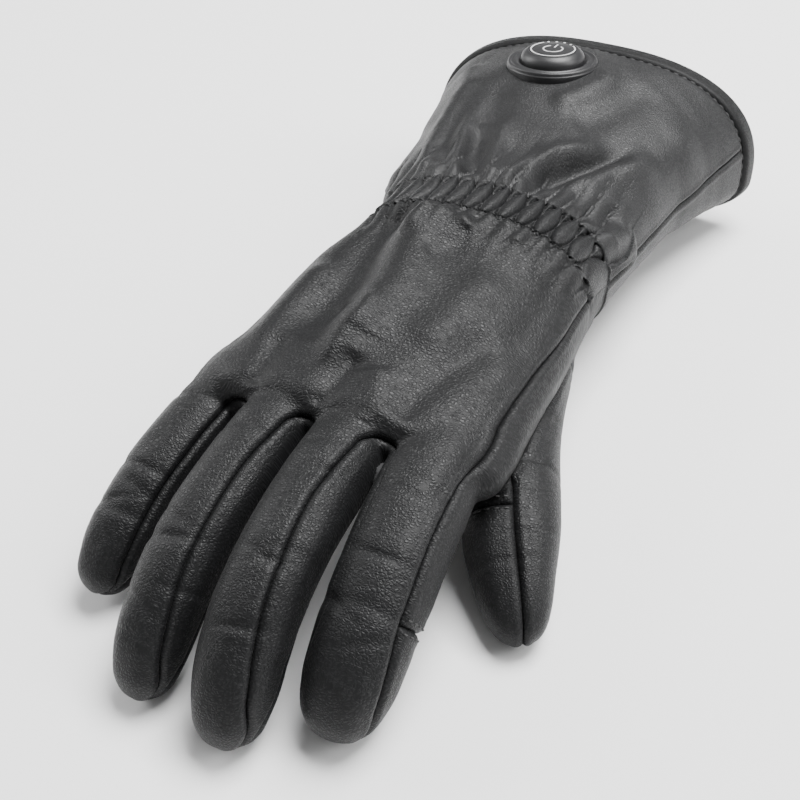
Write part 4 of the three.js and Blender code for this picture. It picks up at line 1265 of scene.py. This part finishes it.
handLook = {"dark": (0.0015, 0.0016, 0.0018), "light": (0.0105, 0.0107, 0.0113), "rough": 0.44, "shine": 0.23,
            "cell": 1.25, "stretch": 1.5, "wrinkle": 0.6, "bump": 0.9, "depth": 0.11, "sheen": 0.02}
handLeather = leatherMaterial("handLeather", handLook)
palmLeather = leatherMaterial("palmLeather", {**handLook, "rough": 0.5, "cell": 1.2})
cuffLeather = leatherMaterial("cuffLeather", {**handLook, "cell": 1.0, "wrinkle": 0.35, "depth": 0.09,
                                              "shine": 0.32, "light": (0.0145, 0.0147, 0.0154)})
bindingLeather = leatherMaterial("bindingLeather", {**handLook, "cell": 0.9, "depth": 0.06, "rough": 0.5,
                                                    "dark": (0.0012, 0.0013, 0.0015),
                                                    "light": (0.006, 0.0061, 0.0065)})


def speckMaterial(name, look):
    material, tree = newMaterial(name)
    where = addNode(tree, "ShaderNodeTexCoord")
    specked = addNode(tree, "ShaderNodeGroup", {
        "Vector": where.outputs["Object"], "Scale": look["scale"], "Rough": look["rough"],
        "Dark": (*look["dark"], 1), "Light": (*look["light"], 1),
    }, node_tree=speck).outputs
    giveShader(tree, {"Base Color": specked["Color"], "Roughness": specked["Roughness"],
                      "Normal": specked["Normal"]})
    return material


buttonRubber = speckMaterial("buttonRubber", {"dark": (0.008, 0.008, 0.009), "light": (0.016, 0.016, 0.017),
                                              "rough": 0.42, "scale": 2600})
printInk = speckMaterial("printInk", {"dark": (0.42, 0.42, 0.42), "light": (0.55, 0.55, 0.55),
                                      "rough": 0.5, "scale": 1800})
innerSuede = speckMaterial("innerSuede", {"dark": (0.012, 0.012, 0.013), "light": (0.035, 0.035, 0.036),
                                          "rough": 0.9, "scale": 1400})
threadBlack = speckMaterial("threadBlack", {"dark": (0.01, 0.01, 0.01), "light": (0.04, 0.04, 0.04),
                                            "rough": 0.6, "scale": 4000})
print("materials")

# Leather pieces


def settle(piece, node=None):
    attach(piece, "root")
    if node:
        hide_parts(node)


def finishPanel(shape, material, node):
    points, faces, values, outer = shape
    piece = makePiece(node + "_leather", toFrame(points), faces, material, values)
    piece.data.materials.append(innerSuede)
    index = np.zeros(len(faces), np.int32)
    index[outer:2 * outer] = 1
    piece.data.polygons.foreach_set("material_index", index)
    settle(piece, node)


leatherWall = 1.2
palmPieces = ("palm_panel", "index_touch_tip", "thumb_front", "thumb_touch_tip")
for label, node in enumerate(panelNames):
    material, slot = (palmLeather, "palm_leather") if node in palmPieces else (handLeather, "hand_leather")
    finishPanel(panelOf(skin, label, leatherWall), material, node)
for label, node in enumerate(("cuff_back", "cuff_underside")):
    finishPanel(panelOf(cuff, label, cuffForm["wall"]), cuffLeather, node)
finishPanel(panelOf(gather, 0, gatherForm["wall"]), handLeather, "gathered_wrist")
bindingShape = (binding["points"], binding["faces"], {"lay": binding["data"]["lay"] * milli}, 0)
finishPanel(bindingShape, bindingLeather, "cuff_binding")
print("leather pieces")

# The button's place, on the leather and square to it


def riseOf(cut, share):
    # height of a section's top at a share of its half width
    square = glove["handSquareness"]
    return cut["up"] * (1 - share ** square) ** (1 / square)


def topPoint(s, x):
    cut = sectionAt(s)
    return placeOn(s, x + cut["shift"], riseOf(cut, abs(x) / cut["half"]))


def buttonAxes():
    s = -buttonForm["place"] * glove["cuffLength"]
    x = buttonForm["shift"] * glove["palmWidth"]
    third = buttonForm["width"] / 3
    spot = topPoint(s, x)
    side = unit(topPoint(s, x + third) - topPoint(s, x - third))
    ahead = unit(topPoint(s + third, x) - topPoint(s - third, x))
    out = unit(np.cross(ahead, side))
    if out[2] < 0:
        out = -out
    turn = Matrix.Rotation(math.radians(-buttonForm["tilt"]), 3, side)
    out = np.array(turn @ Vector(out))
    return spot, side, unit(np.cross(out, side)), out


buttonSpot, buttonSide, buttonAhead, buttonOut = buttonAxes()


def onButton(side, ahead, height):
    # points over the button from their places across it, along it and above the leather
    return (buttonSpot + np.outer(side, buttonSide) + np.outer(ahead, buttonAhead)
            + np.outer(height, buttonOut))


def turnedPiece(name, profile, node):
    angle = turnsOf(buttonForm["segments"])
    rings = [onButton(np.cos(angle) * radius, np.sin(angle) * radius, np.full(len(angle), height))
             for radius, height in profile]
    points, faces = closedTube(np.array(rings))
    settle(makePiece(name, toFrame(points), faces, buttonRubber), node)


def roundedProfile(corners, radius=0.5, steps=4):
    # a turned outline with its inner corners rounded
    out = [corners[0]]
    for before, corner, after in zip(corners[:-2], corners[1:-1], corners[2:]):
        before, corner, after = map(np.array, (before, corner, after))
        a, b = before - corner, after - corner
        reach = min(radius, np.linalg.norm(a) / 2.2, np.linalg.norm(b) / 2.2)
        start, end = corner + unit(a) * reach, corner + unit(b) * reach
        for t in np.linspace(0, 1, steps + 1):
            out.append(tuple((1 - t) ** 2 * start + 2 * t * (1 - t) * corner + t * t * end))
    out.append(corners[-1])
    return out


# Outlines of the turned pieces: distance past half the width of flange, dome or face, and height
half, domeHalf, faceHalf = (buttonForm[key] / 2 for key in ("width", "domeWidth", "faceWidth"))
flangeTop = buttonForm["base"] - buttonForm["sink"]
domeBase = flangeTop - buttonForm["socket"] + buttonForm["gap"]
domeTop = domeBase + buttonForm["domeHeight"]
turnedPiece("buttonFlangeRubber", roundedProfile([
    (half - 0.8, -buttonForm["sink"] - 2), (half - 0.1, -buttonForm["sink"]), (half, flangeTop - 1.7),
    (half - 0.35, flangeTop - 1.35), (half - 0.5, flangeTop - 0.3), (half - 1.3, flangeTop + 0.1),
    (half - 2.0, flangeTop - 0.5), (half - 2.7, flangeTop - 0.5), (half - 3.3, flangeTop),
    (domeHalf + 1.2, flangeTop - 0.2), (domeHalf + 0.5, flangeTop - 0.6), (domeHalf - 0.5, flangeTop - 1.5),
]), "button_flange")
turnedPiece("buttonDomeRubber", roundedProfile([
    (domeHalf, domeBase), (domeHalf, domeBase + 1.6), (domeHalf - 0.15, domeBase + 3.2),
    (domeHalf - 1.0, domeBase + 4.7), (domeHalf - 2.4, domeTop - 0.2), (faceHalf + 0.3, domeTop),
    (faceHalf - 0.6, domeTop - 0.5), (faceHalf - 1.2, domeTop - 0.7),
], 1.4), "button_dome")
turnedPiece("buttonFaceRubber", [
    (faceHalf - 0.3, domeTop - 0.9), (faceHalf - 0.35, domeTop - 0.25), (faceHalf - 0.7, domeTop - 0.05),
    (faceHalf * 0.6, domeTop + 0.1), (faceHalf * 0.3, domeTop + 0.16), (0.4, domeTop + 0.18),
], "button_face")
print("button")

# Stitches: one Geometry Nodes tree lays short rounded threads along a row
stitchForm = {
    "hem": {"length": 2.6, "spacing": 3.8, "thick": 0.7, "from": 0.9, "aboveFloor": 3.5, "lift": 0.05,
            "gap": 8},
    "gather": {"length": 1.5, "spacing": 2.4, "thick": 0.36, "puffs": (-5.6, 6.4), "step": 0.05,
               "ends": (6.2, 9.2), "side": 0.985, "lift": 0.02},
    "tip": {"length": 2.1, "spacing": 3.0, "thick": 0.6, "offsets": (1.7, -1.7), "points": 80, "out": 0.3,
            "lift": 0.12},
    "bead": {"Segments": 6, "Rings": 5, "Radius": 0.5},
}


def stitchTree():
    tree, given = newGroup("stitchRow", "GeometryNodeTree", {
        "Geometry": ("Geometry", None), "Length": ("Float", None), "Spacing": ("Float", None),
        "Thick": ("Float", None), "Thread": ("Material", None),
    }, {"Geometry": "Geometry"})
    row = addNode(tree, "GeometryNodeMeshToCurve", {"Mesh": given["Geometry"]})
    even = addNode(tree, "GeometryNodeResampleCurve", {"Curve": row.outputs[0], "Length": given["Spacing"]},
                   mode="LENGTH")
    bead = addNode(tree, "GeometryNodeMeshUVSphere", stitchForm["bead"])
    size = addNode(tree, "ShaderNodeCombineXYZ", {
        "X": given["Length"], "Y": given["Thick"], "Z": given["Thick"],
    })
    shaped = addNode(tree, "GeometryNodeTransform", {
        "Geometry": bead.outputs["Mesh"], "Scale": size.outputs[0],
    })
    tangent = addNode(tree, "GeometryNodeInputTangent")
    turn = addNode(tree, "FunctionNodeAlignRotationToVector", {"Vector": tangent.outputs[0]}, axis="X")
    laid = addNode(tree, "GeometryNodeInstanceOnPoints", {
        "Points": even.outputs[0], "Instance": shaped.outputs[0], "Rotation": turn.outputs[0],
    })
    real = addNode(tree, "GeometryNodeRealizeInstances", {0: laid.outputs[0]})
    dressed = addNode(tree, "GeometryNodeSetMaterial", {
        "Geometry": real.outputs[0], "Material": given["Thread"],
    })
    addNode(tree, "NodeGroupOutput", {"Geometry": dressed.outputs[0]})
    return tree


stitchRow = stitchTree()


def treeOf(skin):
    return BVHTree.FromPolygons(skin["points"].tolist(), skin["faces"].tolist())


handTree, cuffTree, gatherTree = treeOf(skin), treeOf(cuff), treeOf(gather)


def drape(tree, points, lift):
    # lays points on the leather
    out = []
    for point in points:
        place, normal, _, _ = tree.find_nearest(Vector(point))
        out.append(np.array(place) + np.array(normal) * lift)
    return np.array(out)


def sewRows(name, rows, look):
    edges, start = [], 0
    for row in rows:
        column = np.arange(len(row) - 1) + start
        edges.append(np.stack([column, column + 1], 1))
        start += len(row)
    mesh = bpy.data.meshes.new(name)
    mesh.from_pydata(toFrame(np.vstack(rows)).tolist(), np.vstack(edges).tolist(), [])
    piece = bpy.data.objects.new(name, mesh)
    bpy.context.scene.collection.objects.link(piece)
    sew = piece.modifiers.new("sew", "NODES")
    sew.node_group = stitchRow
    sizes = {"Length": look["length"] * milli, "Spacing": look["spacing"] * milli,
             "Thick": look["thick"] * milli, "Thread": threadBlack}
    for item in stitchRow.interface.items_tree:
        if item.in_out == "INPUT" and item.name in sizes:
            sew[item.identifier] = sizes[item.name]
    bake(piece)
    piece.data.polygons.foreach_set("use_smooth", [True] * len(piece.data.polygons))
    settle(piece)


def hemRows():
    # the row beside the binding, split where the hem rests on the floor
    look = stitchForm["hem"]
    points, _ = ringPoints(-(bindingStart - look["from"]), 0, bindingForm["columns"])
    points = drape(cuffTree, points[toFrame(points)[:, 2] > look["aboveFloor"] * milli], look["lift"])
    split = np.nonzero(np.linalg.norm(np.diff(points, axis=0), axis=1) > look["gap"])[0]
    return np.split(points, split + 1)


def gatherRow(end, rounds=4):
    # the scalloped line between the puffs' tips and the pleats
    look, puff = stitchForm["gather"], puffForm
    phase = np.arange(*look["puffs"], look["step"])
    off = 2 * np.abs(phase - np.floor(phase) - 0.5)
    s = end * np.clip(puff["tip"] * np.sqrt(1 - off ** (1 / puff["pointed"])), *look["ends"])
    x = phase * puff["pitch"]
    for _ in range(rounds):
        x = (phase - puff["slant"] * s / glove["halfGather"] - puffWander(x)) * puff["pitch"]
    cut = sectionAt(s)
    share = np.clip(np.abs((x - cut["shift"]) / cut["half"]), 0, look["side"])
    points = placeOn(s, x, riseOf(cut, share))
    return drape(gatherTree, points[np.abs(s) < glove["halfGather"] + 1], look["lift"])


def tipRows(digit, first, last):
    look = stitchForm["tip"]
    angle = np.linspace(first, last, look["points"])
    rows = []
    for offset in look["offsets"]:
        at = np.full(len(angle), touchTipShare - offset / digit["size"])
        rows.append(drape(handTree, digitSurface(digit, at, angle, look["out"]), look["lift"]))
    return rows


sewRows("hemStitches", hemRows(), stitchForm["hem"])
sewRows("gatherStitches", [gatherRow(-1), gatherRow(1)], stitchForm["gather"])
sewRows("indexTipStitches", tipRows(digits[3], 1.05, 3.6), stitchForm["tip"])
sewRows("thumbTipStitches", tipRows(thumb, -0.12, -3.0), stitchForm["tip"])
print("stitches")

# Print on the button: an open ring, a power sign and four small lamps, angles from the glove's hem
printForm = {"ring": 8.8, "ringOpen": 46, "ringPoints": 120, "sign": 3.9, "signOpen": 34, "signPoints": 60,
             "bar": (1.4, 5.4), "barPoints": 8, "line": 0.66, "thick": 0.16, "sides": 10,
             "lamps": (-33, -11, 11, 33), "lamp": 0.55, "lampHeight": 0.3, "lampSides": 16, "lampRings": 6,
             "lampClosing": 0.94, "rise": 0.18, "fall": 0.12}


def faceHeight(radius):
    return domeTop + printForm["rise"] - printForm["fall"] * (radius / faceHalf) ** 2


def printStrip(path):
    # a thin raised line of ink along a path on the button's face
    ahead = np.gradient(path, axis=0)
    ahead /= np.linalg.norm(ahead, axis=1)[:, None]
    side = np.stack([-ahead[:, 1], ahead[:, 0]], axis=1)
    rings = []
    for turn in turnsOf(printForm["sides"]):
        across = path + side * printForm["line"] / 2 * math.cos(turn)
        height = faceHeight(np.hypot(*path.T)) + printForm["thick"] * math.sin(turn)
        rings.append(onButton(*across.T, height))
    return closedTube(np.array(rings).transpose(1, 0, 2))


def arc(radius, first, last, count):
    angle = np.radians(np.linspace(first, last, count))
    return np.stack([np.sin(angle) * radius, np.cos(angle) * radius], axis=1)


def openRing(name):
    opening = printForm[name + "Open"]
    return arc(printForm[name], opening, 360 - opening, printForm[name + "Points"])


def lampDot(angle):
    spot = arc(printForm["ring"], angle, angle, 1)[0]
    turn = turnsOf(printForm["lampSides"])
    rings = []
    for lift in np.linspace(0, math.pi / 2 * printForm["lampClosing"], printForm["lampRings"]):
        radius = printForm["lamp"] * math.cos(lift)
        height = faceHeight(printForm["ring"]) + printForm["lampHeight"] * math.sin(lift)
        rings.append(onButton(spot[0] + np.cos(turn) * radius, spot[1] + np.sin(turn) * radius,
                              np.full(len(turn), height)))
    return closedTube(np.array(rings))


bar = np.linspace(*printForm["bar"], printForm["barPoints"])
inkPoints, inkFaces = joinMeshes([
    printStrip(openRing("ring")),
    printStrip(openRing("sign")),
    printStrip(np.stack([np.zeros(len(bar)), bar], axis=1)),
    *[lampDot(angle) for angle in printForm["lamps"]],
])
settle(makePiece("buttonPrint", toFrame(inkPoints), inkFaces, printInk))
print("print")

# Studio: pale floor, large soft lamps
studio = {
    "world": 0.37,
    "lamps": [
        {"name": "overhead", "place": (0.25, 0.42, 1.22), "aim": (0, 0, 0), "size": (0.8, 0.7), "power": 48},
        {"name": "left", "place": (-1.2, 0.1, 0.7), "aim": (0, -0.05, 0.03), "size": (0.6, 0.8), "power": 13},
        {"name": "right", "place": (1.2, 0.3, 0.9), "aim": (0, -0.05, 0.03), "size": (0.5, 0.8), "power": 13},
    ],
    "floor": 0.9, "floorShade": 0.985, "floorReach": 4.0,
}


def floorMaterial():
    material, tree = newMaterial("paleFloor")
    where = addNode(tree, "ShaderNodeTexCoord")
    cloud = noise(tree, where.outputs["Object"], {"Scale": 3})[0]
    pale = studio["floor"]
    shade = pale * studio["floorShade"]
    giveShader(tree, {
        "Base Color": toneMix(tree, cloud, (pale, pale, pale, 1), (shade, shade, shade, 1)),
        "Roughness": 0.9, "Specular IOR Level": 0.1,
    })
    return material


def makeStudio():
    scene = bpy.context.scene
    wide = studio["floorReach"]
    corners = np.array([(-wide, -wide, 0), (wide, -wide, 0), (wide, wide, 0), (-wide, wide, 0)], float)
    floor = makePiece("studioFloor", corners, np.array([(0, 1, 2, 3)]), floorMaterial(), smooth=False)
    world = bpy.data.worlds.new("studioAir")
    scene.world = world
    world.use_nodes = True
    world.node_tree.nodes["Background"].inputs[0].default_value = (1, 1, 1, 1)
    world.node_tree.nodes["Background"].inputs[1].default_value = studio["world"]
    for lamp in studio["lamps"]:
        data = bpy.data.lights.new(lamp["name"], "AREA")
        data.shape = "RECTANGLE"
        data.size, data.size_y = lamp["size"]
        data.energy = lamp["power"]
        light = bpy.data.objects.new(lamp["name"], data)
        scene.collection.objects.link(light)
        place, aim = Vector(lamp["place"]), Vector(lamp["aim"])
        light.location = place
        light.rotation_euler = (aim - place).to_track_quat("-Z", "Y").to_euler()


makeStudio()
print("studio")
